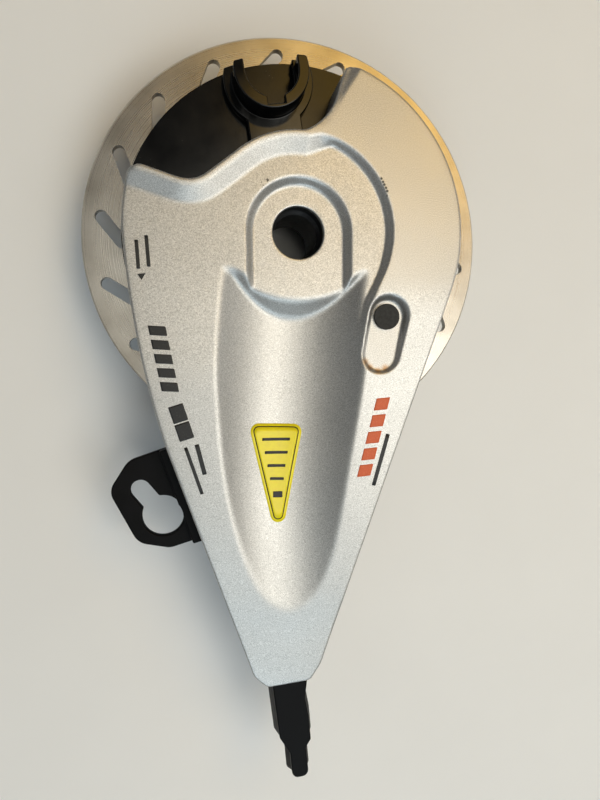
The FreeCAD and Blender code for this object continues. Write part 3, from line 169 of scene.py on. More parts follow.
world = bpy.data.worlds.new("room")
scene.world = world
world.use_nodes = True
tree = world.node_tree
place = put(tree, "ShaderNodeTexCoord").outputs["Generated"]
rise = put(tree, "ShaderNodeSeparateXYZ", {"Vector": place}).outputs["Z"]
low_down = spread(tree, rise, mirror_share, 0.0, low_at=0.12, high_at=0.45)
dim_sky = (0.064, 0.072, 0.080, 1)
tree.links.new(mix(tree, seen(tree, 1.0, low_down), dim_sky, room_colour),
               tree.nodes["Background"].inputs["Color"])
scene.view_settings.view_transform = "Standard"

# ---- the drum --------------------------------------------------------------------
# A turned steel drum with its hub spigot. It is machined all over and left bare, so its
# finish is fine turning marks about the axle with a little oil staining.


def ramp(tree, value, low, high, low_at=0.3, high_at=0.7):
    """Turn a value into a colour between two, linear from low_at to high_at."""
    made = put(tree, "ShaderNodeValToRGB", {"Fac": value})
    made.color_ramp.elements[0].position = low_at
    made.color_ramp.elements[0].color = (*low, 1)
    made.color_ramp.elements[1].position = high_at
    made.color_ramp.elements[1].color = (*high, 1)
    return made.outputs["Color"]


def colour_by(tree, shader, value, low, high, low_at=0.3, high_at=0.7):
    """Colour a shader from low to high as a value goes from low_at to high_at."""
    tree.links.new(ramp(tree, value, low, high, low_at, high_at), shader.inputs["Base Color"])


def roughen_by(tree, shader, value, low, high):
    """Make a shader's roughness go from low to high with a value."""
    tree.links.new(spread(tree, value, low, high), shader.inputs["Roughness"])


def turned_marks(tree, place, pitch):
    """Noise that varies only with the distance from the axle, at a pitch in metres."""
    flat = put(tree, "ShaderNodeVectorMath", {0: place, 1: (1, 1, 0)}, operation="MULTIPLY")
    radius = put(tree, "ShaderNodeVectorMath", {0: flat.outputs["Vector"]}, operation="LENGTH")
    made = put(tree, "ShaderNodeTexNoise", {
        "W": radius.outputs["Value"], "Scale": 1.0 / pitch, "Detail": 2.0},
        noise_dimensions="1D")
    return made.outputs["Fac"]


def relief(tree, shader, height, depth, strength=1.0):
    """Bump a shader's normal by a height from 0 to 1 times a depth in metres."""
    bump = put(tree, "ShaderNodeBump", {"Height": height, "Distance": depth,
                                        "Strength": strength})
    tree.links.new(bump.outputs["Normal"], shader.inputs["Normal"])


def dress(finish, *names):
    """Give CAD nodes a finish through their objects' own material slots."""
    for name in names:
        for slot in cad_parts[name].material_slots:
            slot.material = finish


turned_steel, tree, shader, place = new_finish("turned_steel", metallic=1.0)
marks = turned_marks(tree, place, 0.00022)
clouds = noise(tree, place, 90.0)
colour_by(tree, shader, clouds, (0.40, 0.39, 0.38), (0.56, 0.56, 0.57))
roughen_by(tree, shader, marks, 0.26, 0.42)
relief(tree, shader, marks, 0.000006)
dress(turned_steel, "brake_drum")

# ---- the cooling disc and its rivets -----------------------------------------------
# An aluminium disc, brushed in circles, with eighteen slanted slots blanked through it.
# Nine zinc-plated steel rivets with flat heads hold it to the drum's flange.

brushed_disc, tree, shader, place = new_finish("brushed_disc", metallic=1.0)
marks = turned_marks(tree, place, 0.00016)
clouds = noise(tree, place, 60.0, 4.0)
colour_by(tree, shader, clouds, (0.37, 0.34, 0.295), (0.56, 0.53, 0.48), 0.35, 0.65)
roughen_by(tree, shader, marks, 0.24, 0.40)
shader.inputs["Anisotropic"].default_value = 0.4
relief(tree, shader, marks, 0.000008)
dress(brushed_disc, "cooling_disc")

zinc_plate, tree, shader, place = new_finish("zinc_plate", metallic=1.0)
clouds = noise(tree, place, 300.0)
colour_by(tree, shader, clouds, (0.50, 0.51, 0.54), (0.68, 0.68, 0.68))
roughen_by(tree, shader, clouds, 0.26, 0.40)
relief(tree, shader, clouds, 0.00001)
dress(zinc_plate, "disc_rivets")

# ---- the works inside the drum ----------------------------------------------------
# A hard cam pushes six ground rollers out through a zinc-plated cage, and they push three
# phosphated shoes against the drum. Two ring springs draw the shoes in, and one more
# spring returns the cam.

ground_steel, tree, shader, place = new_finish("ground_steel", metallic=1.0,
                                               colour=(0.60, 0.60, 0.62))
marks = turned_marks(tree, place, 0.00009)
roughen_by(tree, shader, marks, 0.16, 0.30)
relief(tree, shader, marks, 0.000003)
dress(ground_steel, "cam", *["roller_%d" % number for number in range(1, 7)])

phosphate, tree, shader, place = new_finish("phosphate", metallic=0.7, roughness=0.6)
clouds = noise(tree, place, 900.0)
colour_by(tree, shader, clouds, (0.11, 0.11, 0.12), (0.22, 0.22, 0.22))
relief(tree, shader, clouds, 0.00001)
dress(phosphate, "brake_shoe_1", "brake_shoe_2", "brake_shoe_3")

spring_wire, tree, shader, place = new_finish("spring_wire", metallic=1.0,
                                              colour=(0.45, 0.45, 0.47))
clouds = noise(tree, place, 1500.0)
roughen_by(tree, shader, clouds, 0.28, 0.45)
dress(spring_wire, "shoe_springs", "link_spring")
dress(zinc_plate, "roller_cage")

# ---- the axle bush, its ring and its washer ---------------------------------------
# A blackened steel bush carries the whole unit on the wheel's axle. A spring ring keeps the
# cam on it, and the link slides on a washer of natural nylon.

black_oxide, tree, shader, place = new_finish("black_oxide", metallic=0.6)
clouds = noise(tree, place, 500.0)
colour_by(tree, shader, clouds, (0.018, 0.018, 0.019), (0.045, 0.044, 0.043))
roughen_by(tree, shader, clouds, 0.38, 0.52)
dress(black_oxide, "axle_bush")
dress(spring_wire, "retaining_ring")

nylon, tree, shader, place = new_finish("nylon", roughness=0.45)
clouds = noise(tree, place, 400.0)
colour_by(tree, shader, clouds, (0.76, 0.74, 0.68), (0.85, 0.84, 0.80))
dress(nylon, "slide_washer")

# ---- the anchor plate, spacers, dust plate and seal --------------------------------
# Pressed steel plates, dipped in black lacquer; the dust plate shows beside the hook,
# with a faint ripple, dust and wiped grease on it. The seal is matt rubber.

black_lacquer, tree, shader, place = new_finish("black_lacquer")
ripple = noise(tree, place, 350.0, 2.0)
smear = noise(tree, place, 70.0, 5.0, 0.6)
specks = put(tree, "ShaderNodeTexVoronoi", {"Vector": place, "Scale": 900.0}).outputs["Distance"]
dust = maths(tree, "LESS_THAN", specks, 0.07)
dirt = maths(tree, "MULTIPLY", dust, spread(tree, smear, 0.0, 0.45, low_at=0.5, high_at=0.7))
tree.links.new(mix(tree, dirt, (0.003, 0.003, 0.003, 1), (0.30, 0.28, 0.25, 1)),
               shader.inputs["Base Color"])
roughen_by(tree, shader, smear, 0.12, 0.24)
shader.inputs["Specular IOR Level"].default_value = 0.3
relief(tree, shader, ripple, 0.00002, 0.6)
dress(black_lacquer, "dust_plate", "anchor_plate", "spacer_rivets")

rubber, tree, shader, place = new_finish("rubber", roughness=0.75)
clouds = noise(tree, place, 1200.0)
colour_by(tree, shader, clouds, (0.016, 0.016, 0.016), (0.032, 0.032, 0.031))
relief(tree, shader, clouds, 0.00002)
dress(rubber, "dust_seal")

# ---- the cable link, the reaction arm and the casing holder ---------------------------
# Heavier steel, blanked, folded and lacquered black; two rivets hold the casing holder. The
# blanked edges are broken, so each carries a narrow bright line of reflected light.


def soften_edges(name, width):
    """Weld a CAD node's loose triangles, join its flat faces and round its sharp edges."""
    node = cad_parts[name]
    weld = node.modifiers.new("weld", "WELD")
    weld.merge_threshold = 0.00001
    planar = node.modifiers.new("flat_faces", "DECIMATE")
    planar.decimate_type = "DISSOLVE"
    planar.angle_limit = math.radians(0.5)
    bevel = node.modifiers.new("broken_edges", "BEVEL")
    bevel.width = width
    bevel.segments = 3
    bevel.use_clamp_overlap = False
    bevel.limit_method = "ANGLE"
    bevel.angle_limit = math.radians(30.0)
    bevel.harden_normals = True


satin_black, tree, shader, place = new_finish("satin_black")
clouds = noise(tree, place, 160.0, 4.0)
peel = noise(tree, place, 1400.0, 2.0)
colour_by(tree, shader, clouds, (0.003, 0.003, 0.003), (0.006, 0.006, 0.007))
roughen_by(tree, shader, clouds, 0.42, 0.58)
shader.inputs["Specular IOR Level"].default_value = 0.09
relief(tree, shader, peel, 0.00001, 0.6)
dress(satin_black, "reaction_arm", "casing_holder", "holder_rivets")

link_lacquer, tree, shader, place = new_finish("link_lacquer")
clouds = noise(tree, place, 220.0, 4.0)
colour_by(tree, shader, clouds, (0.002, 0.002, 0.002), (0.006, 0.006, 0.006))
roughen_by(tree, shader, clouds, 0.09, 0.15)
shader.inputs["Specular IOR Level"].default_value = 0.32
relief(tree, shader, clouds, 0.00001, 0.5)
dress(link_lacquer, "cable_link")

soften_edges("cable_link", 0.0003)
soften_edges("reaction_arm", 0.0004)
soften_edges("casing_holder", 0.0004)

# ---- the cover ---------------------------------------------------------------------
# A drawn sheet cover in finely grained silver paint. It has a raised wing, a long trough for
# stiffness, a pill-shaped dimple and a recess for the axle nut, which holds it on.

chip_spots = ((18.3, 13.2, 35.2), (20.6, 8.2, 35.2), (10.4, 20.8, 35.2), (-1.0, 21.2, 35.2),
              (-8.5, 10.0, 33.6), (-7.1, 10.7, 33.6), (-11.2, 18.3, 35.2), (10.5, -70.6, 29.5))
scrape_line = ((18.7, 11.9, 35.2), (19.1, 11.2, 35.2), (19.4, 10.6, 35.2), (19.8, 9.9, 35.2),
               (20.1, 9.2, 35.2))
# Painted warm highlight: an orange tint laid in blotches on the paint along the dimple's lower end
# wall, standing in for the warm light that this wall catches.
highlight_spots = ((15.5, -29.7, 33.3), (16.6, -31.0, 33.3), (18.6, -31.9, 33.3),
                (20.4, -31.2, 33.3))
highlight_colour = (0.42, 0.22, 0.07, 1)
chip_colour = (0.07, 0.07, 0.07, 1)


def near(tree, place, points, inner, outer):
    """A mask about points, all in mm: 1 within the inner distance of one, 0 past the outer."""
    nearest = 0.0
    for point in points:
        away = put(tree, "ShaderNodeVectorMath", {0: place, 1: [part * mm for part in point]},
                   operation="DISTANCE").outputs["Value"]
        share = spread(tree, away, 1.0, 0.0, low_at=inner * mm, high_at=outer * mm)
        nearest = maths(tree, "MAXIMUM", share, nearest)
    return nearest


silver_paint, tree, shader, place = new_finish("silver_paint", metallic=0.9)
grain = noise(tree, place, 5000.0, 2.0, 0.6)
clouds = noise(tree, place, 45.0)
paint = ramp(tree, grain, (0.33, 0.324, 0.31), (0.67, 0.66, 0.635), 0.32, 0.68)
flakes = spread(tree, noise(tree, place, 650.0, 4.0, 0.65), 0.0, 1.0, low_at=0.53, high_at=0.57)
chips = maths(tree, "MULTIPLY", flakes, near(tree, place, chip_spots, 0.4, 0.9))
chips = maths(tree, "MAXIMUM", chips, near(tree, place, scrape_line, 0.22, 0.38))
# Mask of the painted warm highlight: near the dimple's lower end wall, broken into blotches.
highlight_mask = maths(tree, "MULTIPLY", near(tree, place, highlight_spots, 0.3, 1.2),
               spread(tree, clouds, 0.55, 0.95))
highlighted_paint = mix(tree, highlight_mask, paint, highlight_colour)
tree.links.new(mix(tree, chips, highlighted_paint, chip_colour), shader.inputs["Base Color"])
roughen_by(tree, shader, clouds, 0.42, 0.48)
relief(tree, shader, grain, 0.00003, 0.5)

# Lengths are in mm, heights are above the foot of the drum, and angles are in degrees.
cover_sheet = 1.2
cover_step = 0.42
cover_end = 110.1
wing_radius = 38.4
body_radius = 39.0
opening_radius = 21.8
opening_start = 87.0
opening_turn = 128.0
bay_slope = 17.0
bay_line = 2.1
bay_bow = 7.0
wing_high = 35.2
field_high = 33.5
field_radius = 21.6
horn_root = (5.25, 22.7)
horn_rays = ((8.45, 12.6, 0.0), (6.65, 13.4, -0.8), (4.65, 14.1, -0.8))
axle_hole = 5.95
nut_face = 31.7
nut_recess = 10.7
nut_slot = 18.0
nut_wall = 1.0 / 0.722
trough_radius = 28.5
trough_low = 27.8
trough_middle = -45.0
dimple_start = (20.8, -19.2)
dimple_run = (-1.7, -8.8)
dimple_radius = 4.0
dimple_low = 33.0
dimple_wall = 2.2
port_centre = (20.6, -19.2)
port_radius = 2.3


def polar(radius, turn):
    """The place at a distance from the axle in a direction: radius times its cosine and sine."""
    return radius * np.array([math.cos(math.radians(turn)), math.sin(math.radians(turn))])


def arc(radius, start, stop, centre=(0.0, 0.0), step=0.8):
    """Points along an arc: centre + radius times the cosine and sine of evenly spaced angles."""
    count = max(3, int(abs(math.radians(stop - start)) * radius / step))
    turn = np.radians(np.linspace(start, stop, count))
    return np.column_stack([centre[0] + radius * np.cos(turn), centre[1] + radius * np.sin(turn)])


def three_point_arc(first, middle, last):
    """Points along the circle through three points; its centre is equally far from all three."""
    first, middle, last = (np.array(point, float) for point in (first, middle, last))
    sides = np.array([middle - first, last - first])
    centre = first + np.linalg.solve(sides, (sides ** 2).sum(1) / 2)
    angles = [math.degrees(math.atan2(*(point - centre)[::-1])) for point in (first, middle, last)]
    angles[1] = angles[0] + (angles[1] - angles[0] + 180) % 360 - 180
    angles[2] = angles[1] + (angles[2] - angles[1] + 180) % 360 - 180
    return arc(np.linalg.norm(first - centre), angles[0], angles[2], centre)


def opening_edge(inset, first_turn, far_x):
    """The link opening's edge moved in: an arc, its tangent, a round bend, a straight line.

    Two lines given by their normals' angles meet at a corner, and the bend touches both.
    """
    radius = opening_radius - inset
    line = bay_line - inset
    bow = bay_bow + inset
    normals = np.radians([opening_turn, 90 - bay_slope])
    rows = np.column_stack([np.cos(normals), np.sin(normals)])
    centre = np.linalg.solve(rows, [radius + bow, line + bow])
    turns = np.degrees(normals) - 180
    leave = radius * rows[0]
    far = (far_x, (line - far_x * rows[1, 0]) / rows[1, 1])
    return np.vstack([arc(radius, first_turn, opening_turn), [leave],
                      arc(bow, turns[0], turns[1], centre), [far]])


def spread_out(corners, step):
    """Points evenly spaced along a closed path through corners, by its running length."""
    path = np.vstack([corners, corners[:1]])
    along = np.concatenate([[0], np.cumsum(np.linalg.norm(np.diff(path, axis=0), axis=1))])
    places = np.linspace(0, along[-1], max(8, int(along[-1] / step)), endpoint=False)
    return np.column_stack([np.interp(places, along, path[:, axis]) for axis in (0, 1)])


def eased(path, times):
    """A closed path with its corners rounded: each point averaged with its neighbours."""
    for _ in range(times):
        path = (np.roll(path, 1, 0) + 2 * path + np.roll(path, -1, 0)) / 4
    return path


cover_tip = [(5.6, 5.2 - cover_end), (2.8, 0.8 - cover_end), (-8.0, -cover_end),
             (-11.3, 3.1 - cover_end)]
cover_plan = np.vstack([
    arc(wing_radius, 70, -20), cover_tip,
    three_point_arc((-30.6, -49.5), (-36.4, -24.0), polar(body_radius, 180)),
    arc(body_radius, 180, 162.5), opening_edge(0.0, opening_start, -34.9)[::-1],
    three_point_arc(polar(opening_radius, opening_start), (5.8, 25.0), (8.9, 31.1)),
    [(10.8, 36.4)]])
cover_plan = eased(spread_out(cover_plan, 0.4), 3)


def gap_to(path, places):
    """Signed distance from places to a closed path, positive inside, and the nearest points.

    Each place is compared with each short leg of the path: the nearest point of a leg is at
    the share (place - start).(leg) / |leg|^2, held within 0 to 1. Inside is where a line
    drawn sideways crosses the path an odd number of times.
    """
    leg = np.roll(path, -1, 0) - path
    length2 = np.maximum((leg ** 2).sum(1), 1e-12)
    rise = np.where(leg[:, 1] == 0, 1e-12, leg[:, 1])
    gaps = np.empty(len(places))
    nearest = np.empty((len(places), 2))
    for part in np.array_split(np.arange(len(places)), max(1, len(places) // 4000)):
        offset = places[part, None, :] - path[None]
        share = np.clip((offset * leg).sum(2) / length2, 0, 1)
        miss = ((offset - share[..., None] * leg) ** 2).sum(2)
        best = miss.argmin(1)
        rows = np.arange(len(part))
        nearest[part] = path[best] + share[rows, best, None] * leg[best]
        starts_below = offset[..., 1] < 0
        ends_below = (offset - leg)[..., 1] < 0
        beyond = offset[..., 0] - leg[:, 0] * offset[..., 1] / rise < 0
        inside = ((starts_below != ends_below) & beyond).sum(1) % 2 == 1
        gaps[part] = np.sqrt(miss[rows, best]) * np.where(inside, 1, -1)
    return gaps, nearest


def low_of(first, second, soft):
    """Smooth minimum: where two heights differ by less than soft, a parabola joins them."""
    blend = np.clip(0.5 + 0.5 * (second - first) / soft, 0, 1)
    return second + (first - second) * blend - soft * blend * (1 - blend)


def high_of(first, second, soft):
    """Smooth maximum, the mirror of the smooth minimum."""
    return -low_of(-np.asarray(first), -np.asarray(second), soft)


def fall(y, start, slope, soft):
    """The drop of a plane that tilts down along the arm past a start, its bend a parabola."""
    return slope * high_of(start - y, 0 * y, soft)


def field_edge(rim, lip, last):
    """The outline of the low field, its rim moved in by one offset and its wing wall by another.

    The wall's lip is narrower towards both its ends.
    """
    turn = np.arange(-32.0, last, 1.5)
    narrow = np.interp(turn, (-32, -15, 50, 70), (0.55, 1.0, 0.8, 0.75))
    turn = np.radians(turn)
    wall = (field_radius - lip * narrow)[:, None] * np.column_stack([np.cos(turn), np.sin(turn)])
    past_cover = [(-60, -130), (0.25, -130), (0.25, -80)]
    return spread_out(np.vstack([wall, opening_edge(rim, 84, -60.0), past_cover,
                                 [(15.5, -15.5)]]), 0.7)


ramp_foot = field_edge(4.8, 1.25, 69)
ramp_head = field_edge(1.2, 0.0, 78)


def end_wall_height(x, y):
    """Height of the trough's end wall, a circle that grows and moves as it rises.

    At a share t it is the circle about (0, 3 + 7 t) with the radius 22.9 + 2.5 t, at the height
    28 + 3.7 t. So t is the larger root of a quadratic with the terms below.
    """
    shift = 7.0
    growth = 2.5
    centre = 3.0
    radius = 22.9
    foot = 28.0
    rise = 3.7
    out_of_reach = 60.0
    square = shift ** 2 - growth ** 2
    linear = -2 * (shift * (y - centre) + radius * growth)
    constant = x ** 2 + (y - centre) ** 2 - radius ** 2
    root = np.sqrt(np.maximum(linear ** 2 - 4 * square * constant, 0))
    return np.where(y > -6, out_of_reach, foot + rise * (root - linear) / (2 * square))


def trough_height(x, y):
    """Height of the trough: an arc in each section over a curved floor, closed by its end wall.

    The floor rises as t^2 towards the axle and as |t|^3 towards the arm's end. The middle line
    bows to one side, and the right half flares near the axle.
    """
    along = y - trough_middle
    floor = trough_low + np.where(along > 0, 0.0009 * along ** 2, 1.55e-5 * abs(along) ** 3)
    flare = np.clip((y + 26) / 16, 0, 1) ** 2
    middle = -2.1 - 1.2 * np.exp(-((y + 58) / 22) ** 2) + 0.4 * flare
    aside = x - middle
    aside = np.clip(np.where(aside > 0, aside * (1 - 0.103 * flare), aside), -24, 24)
    section = floor + trough_radius - np.sqrt(trough_radius ** 2 - aside ** 2)
    end_wall = end_wall_height(x, y)
    shoulder = field_high + y + 8.5
    soft = np.interp(np.maximum(section, end_wall), (29.0, 33.0), (0.8, 1.3))
    return high_of(high_of(section, end_wall, soft), shoulder, 1.0)


def cover_height(places):
    """Height of the cover's top in mm over places in the plan, without its rolled edge.

    The raised level and the low field are flat near the axle and fall along the arm. Past the
    trough's end they fall more steeply, and then less so to the tip. A ramp joins them: its
    share is a / (a + b), with a and b the distances from the ramp's foot and head. The horn
    has two planes through its root, each across two rays. The nut's recess is a cone about a
    short line, and the dimple's wall is one about another. The lowest of all is taken, each
    joined to the next by a parabola.
    """
    x, y = places.T
    past_end = fall(y, -88, 0.0375, 4.0) - fall(y, -96, 0.0592, 5.0)
    raised = wing_high - fall(y, -15, 0.0782, 5.0) - past_end + fall(y, -89, 0.0067, 3.0)
    field = field_high - fall(y, -32, 0.0717, 5.0) - past_end
    out = -gap_to(ramp_foot, places)[0]
    back = gap_to(ramp_head, places)[0]
    share = out / np.maximum(out + back, 0.8)
    slope = field + (raised - field) * share
    height = low_of(high_of(field, slope, 0.14), raised, 0.14)

    normals = [np.cross(first, second) for first, second in zip(horn_rays, horn_rays[1:])]
    from_root = places - horn_root
    planes = [wing_high - from_root @ normal[:2] / normal[2] for normal in normals]
    on_horn = low_of(height, high_of(*planes, 0.15), 0.15)
    height = np.where(y > horn_root[1], on_horn, height)

    beside = np.hypot(x, y - np.clip(y, -nut_slot, 0))
    wall = nut_face + (beside - nut_recess) * nut_wall
    height = low_of(height, high_of(nut_face + 0 * x, wall, 0.5), 0.5)

    soft = np.interp(y, (-95, -60, -20), (0.25, 0.45, 0.7))
    height = low_of(height, trough_height(x, y), soft)

    run = np.array(dimple_run)
    from_start = places - dimple_start
    share = np.clip(from_start @ run / (run @ run), 0, 1)
    beside = np.linalg.norm(from_start - share[:, None] * run, axis=1)
    wall = dimple_low + (beside - dimple_radius) * dimple_wall
    return low_of(height, high_of(dimple_low + 0 * x, wall, 0.5), 0.6)


arm_roof = 26.76
wall_foot = 21.9
foot_over_holder = 24.7
foot_over_link = 25.4
foot_over_arm = 26.75
holder_middle = (-26.3, -62.0)
holder_axes = np.array([[0.948, -0.319], [0.319, 0.948]])
holder_half = (6, 13.5)


def cover_foot(places):
    """Height of the wall's lower edge: higher over the link, the arm and the casing holder."""
    x, y = places.T
    turn = np.degrees(np.arctan2(y, x))
    over_link = (turn > 80) & (turn < 148) & (np.hypot(x, y) > 16)
    over_arm = (y < -106.0) & (x > -8.2) & (x < 5.4)
    over_holder = (abs((places - holder_middle) @ holder_axes) < holder_half).all(1)
    foot = np.full(len(places), wall_foot)
    foot[over_holder] = foot_over_holder
    foot[over_link] = foot_over_link
    foot[over_arm] = foot_over_arm
    return foot


def open_loops(cells, count):
    """The open edges of a sheet of cells, as loops of corners in running order.

    A side that one cell alone has is open, and leads from a corner to the next. Each corner's
    jump is doubled again and again, to find the lowest corner of its loop and then the number
    of steps to it, which puts the loop in order.
    """
    sides = np.stack([cells, np.roll(cells, -1, 1)], -1).reshape(-1, 2)
    keys = np.sort(sides, 1) @ np.array([count, 1])
    values, uses = np.unique(keys, return_counts=True)
    open_sides = sides[np.isin(keys, values[uses == 1])]
    corners = np.arange(count)
    ahead = corners.copy()
    ahead[open_sides[:, 0]] = open_sides[:, 1]
    lowest = corners
    jump = ahead
    for _ in range(count.bit_length()):
        lowest = np.minimum(lowest, lowest[jump])
        jump = jump[jump]
    home = lowest == corners
    jump = np.where(home, corners, ahead)
    steps = np.where(home, 0, 1)
    for _ in range(count.bit_length()):
        steps = steps + steps[jump]
        jump = jump[jump]
    rim = np.unique(open_sides)
    loops = [rim[lowest[rim] == first] for first in np.unique(lowest[rim])]
    return [loop[np.argsort(-steps[loop])] for loop in loops]


# Each rim has its closed path, 1 or -1 for a sheet inside or outside it, the gap that the grid
# keeps from it, and the radius of its rolled edge.
rims = [(cover_plan, 1.0, 0.6, 0.4),
        (arc(axle_hole, 360, 0, step=0.35)[:-1], -1.0, 0.45, 0.3),
        (arc(port_radius, 360, 0, port_centre, 0.3)[:-1], -1.0, 0.35, 0.2)]
across = np.arange(-40.0, 40.0, cover_step)
down = np.concatenate([np.arange(-112.0, -45.0, 0.75), np.arange(-45.0, 39.0, cover_step)])
grid_x, grid_y = np.meshgrid(across, down)
places = np.column_stack([grid_x.ravel(), grid_y.ravel()])
rooms = np.array([gap_to(path, places)[0] * sign - keep for path, sign, keep, _ in rims])
closest = rooms.argmin(0)
room = rooms.min(0)
index = np.arange(len(places)).reshape(grid_x.shape)
cells = np.stack([index[:-1, :-1], index[:-1, 1:], index[1:, 1:], index[1:, :-1]], -1)
cells = cells.reshape(-1, 4)
cells = cells[(room[cells] > -0.05 * cover_step).all(1)]
used, cells = np.unique(cells, return_inverse=True)
cells = cells.reshape(-1, 4)
places = places[used]
closest = closest[used]
edges = []
for loop in open_loops(cells, len(places)):
    path, sign, keep, bend = rims[np.bincount(closest[loop]).argmax()]
    gap, nearest = gap_to(path, places[loop])
    outward = (nearest - places[loop]) / np.maximum(gap * sign, 1e-6)[:, None]
    places[loop] = nearest - outward * keep
    edges.append((loop, outward, sign, keep, bend))

top = np.column_stack([places, cover_height(places)])
under = np.column_stack([places, np.maximum(top[:, 2] - cover_sheet, arm_roof)])
count = len(top)
total = 2 * count
shell = [top, under]
faces = [cells, cells[:, ::-1] + count]
for loop, outward, sign, keep, bend in edges:
    rings = []
    for turn in np.radians([20, 40, 60, 75, 90]):
        out_by = keep - bend + bend * math.sin(turn)
        rings.append(np.column_stack([top[loop, :2] + outward * out_by,
                                      top[loop, 2] - bend * (1 - math.cos(turn))]))
    wall = rings[-1][:, :2]
    if sign > 0:
        lowest = cover_foot(wall)
        rings += [np.column_stack([wall, lowest]), np.column_stack([under[loop, :2], lowest])]
    else:
        rings.append(np.column_stack([wall, under[loop, 2]]))
    levels = [loop]
    for ring in rings:
        shell.append(ring)
        levels.append(total + np.arange(len(loop)))
        total += len(loop)
    levels.append(loop + count)
    for upper, lower in zip(levels, levels[1:]):
        faces.append(np.stack([upper, lower, np.roll(lower, -1), np.roll(upper, -1)], -1))


def new_piece(name, corners, faces, finish, body):
    """A smooth mesh object from corners in mm and faces, riding on a body."""
    mesh = bpy.data.meshes.new(name)
    mesh.from_pydata(corners * mm, [], faces.tolist())
    mesh.materials.append(finish)
    mesh.shade_smooth()
    piece = bpy.data.objects.new(name, mesh)
    scene.collection.objects.link(piece)
    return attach(piece, body)


cover = new_piece("cover_shell", np.vstack(shell), np.vstack(faces), silver_paint, "brake_unit")
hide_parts("arm_cover")

# ---- the printed stripes -------------------------------------------------------------
# Black and orange ink, printed straight on the silver paint along both edges of the cover:
# slanted bars, plain blocks, thin lines and one small pointer.


film_depth = 0.1


def laid_on_cover(outline, lift, rings=5):
    """A thin closed patch on the cover: its corners and its triangles.

    Ring k of the patch is middle + k / rings * (outline - middle), at the cover's height
    plus the lift. The same rings, lower by the film's depth, close it underneath.
    """
    outline = spread_out(np.array(outline, float), 0.3)
    middle = outline.mean(0)
    shares = np.arange(1, rings + 1)[:, None, None] / rings
    plan = np.vstack([[middle], (middle + shares * (outline - middle)).reshape(-1, 2)])
    top = np.column_stack([plan, cover_height(plan) + lift])
    count = len(outline)
    ring = np.arange(count)
    ahead = (ring + 1) % count
    tops = [np.column_stack([0 * ring, 1 + ring, 1 + ahead])]
    for level in range(1, rings):
        outer = 1 + level * count
        inner = outer - count
        tops.append(np.column_stack([inner + ring, outer + ring, outer + ahead]))
        tops.append(np.column_stack([inner + ring, outer + ahead, inner + ahead]))
    tops = np.vstack(tops)
    rim = 1 + (rings - 1) * count
    sides = [np.column_stack([rim + ring, rim + ring + len(top), rim + ahead + len(top)]),
             np.column_stack([rim + ring, rim + ahead + len(top), rim + ahead])]
    corners = np.vstack([top, top - (0, 0, film_depth)])
    return corners, np.vstack([tops, tops[:, ::-1] + len(top), *sides])


def joined(patches):
    """Corners and triangles of several patches as one mesh."""
    starts = np.cumsum([0] + [len(corners) for corners, _ in patches])
    return (np.vstack([corners for corners, _ in patches]),
            np.vstack([faces + start for (_, faces), start in zip(patches, starts)]))


def bars(first, last, across, count=1, filled=1.0, slant=0.0):
    """Outlines of slanted bars in a row between two places, each a share of its pitch long."""
    first = np.array(first)
    along = (np.array(last) - first) / count
    side = np.array([-along[1], along[0]]) / np.linalg.norm(along) * across / 2
    lean = along / np.linalg.norm(along) * slant
    shape = np.array([-side - lean, along * filled - side - lean,
                      along * filled + side + lean, side + lean])
    return [first + along * number + shape for number in range(count)]


black_ink, tree, shader, place = new_finish("black_ink")
wear = noise(tree, place, 2600.0, 3.0, 0.7)
colour_by(tree, shader, wear, (0.008, 0.008, 0.008), (0.05, 0.048, 0.045), 0.55, 0.8)
roughen_by(tree, shader, wear, 0.42, 0.6)
pointer = [(-35.9, -10.2), (-35.0, -11.5), (-34.1, -10.0)]
marks = (bars((-32.1, -21.4), (-29.3, -36.9), 3.7, 5, 0.68, 0.45)
         + bars((-28.5, -39.0), (-26.0, -47.2), 3.4, 2, 0.93)
         + bars((-24.0, -48.1), (-22.3, -55.2), 1.0)
         + bars((-26.5, -48.7), (-23.0, -59.8), 0.8)
         + bars((-33.8, -1.9), (-33.4, -8.6), 0.8)
         + bars((-35.9, -2.9), (-35.6, -9.1), 0.8)
         + [pointer]
         + bars((21.3, -47.1), (18.0, -59.7), 1.0))
ink_lift = 0.035
new_piece("black_stripes", *joined([laid_on_cover(mark, ink_lift) for mark in marks]),
          black_ink, "brake_unit")

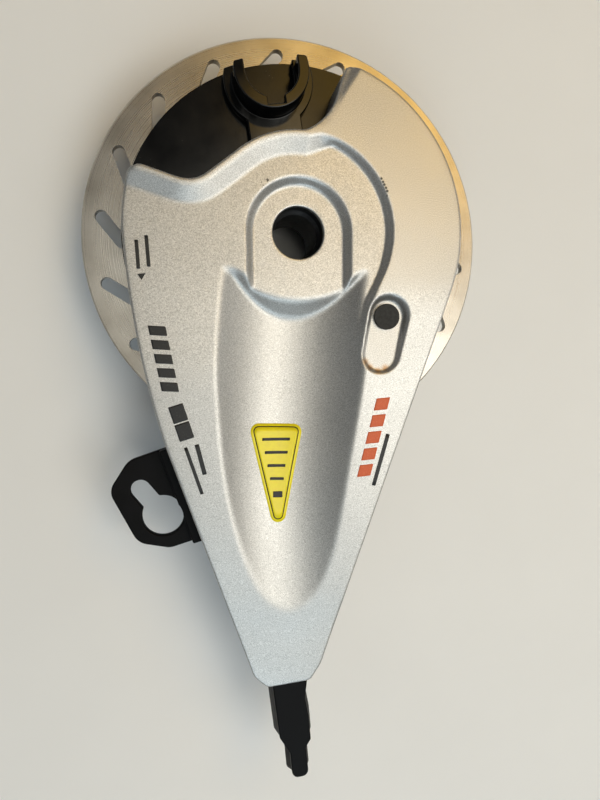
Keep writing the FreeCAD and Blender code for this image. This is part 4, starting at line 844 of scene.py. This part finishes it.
orange_ink, tree, shader, place = new_finish("orange_ink")
wear = noise(tree, place, 2600.0, 3.0, 0.7)
colour_by(tree, shader, wear, (0.68, 0.10, 0.012), (0.74, 0.20, 0.06), 0.5, 0.8)
roughen_by(tree, shader, wear, 0.4, 0.58)
marks = bars((19.9, -38.3), (15.2, -58.4), 3.2, 5, 0.72, -0.5)
new_piece("orange_stripes", *joined([laid_on_cover(mark, ink_lift) for mark in marks]),
          orange_ink, "brake_unit")

# ---- the yellow label ------------------------------------------------------------------
# A printed plastic film, stuck in the trough with its own glue: a yellow triangle with
# rounded corners, a thin black border and plain black bars.


def rounded(corners, radius):
    """A convex outline grown by a radius: its sides move out and each corner is an arc."""
    corners = np.array(corners, float)
    leg = np.roll(corners, -1, 0) - corners
    leave = np.degrees(np.arctan2(-leg[:, 0], leg[:, 1]))
    arrive = np.roll(leave, 1)
    return np.vstack([arc(radius, start, start + (stop - start) % 360, corner, 0.3)
                      for corner, start, stop in zip(corners, arrive, leave)])


yellow_film, tree, shader, place = new_finish("yellow_film")
clouds = noise(tree, place, 700.0, 3.0)
colour_by(tree, shader, clouds, (0.90, 0.75, 0.010), (0.95, 0.82, 0.015))
roughen_by(tree, shader, clouds, 0.3, 0.42)
label_core = ((-4.9, -66.5), (-0.9, -46.4), (-9.5, -46.0))
mark_lift = 0.14
outer_yellow = laid_on_cover(rounded(label_core, 1.9), 0.05, 8)
black_border = laid_on_cover(rounded(label_core, 1.25), 0.08, 8)
inner_yellow = laid_on_cover(rounded(label_core, 1.0), 0.11, 8)
new_piece("label", *joined([outer_yellow, inner_yellow]), yellow_film, "brake_unit")
marks = (bars((-8.6, -48.0), (-1.8, -48.2), 0.7)
         + bars((-8.0, -51.2), (-2.4, -51.4), 0.7)
         + bars((-7.4, -54.4), (-3.0, -54.6), 0.7)
         + bars((-6.8, -57.6), (-3.4, -57.8), 0.7)
         + bars((-6.1, -61.5), (-3.8, -61.6), 1.5))
label_films = [black_border] + [laid_on_cover(mark, mark_lift) for mark in marks]
new_piece("label_marks", *joined(label_films), black_ink, "brake_unit")

# ---- the grease plug -----------------------------------------------------------------
# A soft plug, moulded in black rubber and pushed into the port in the dimple. Pulling it
# out opens the way for fresh grease.

dress(rubber, "grease_plug")
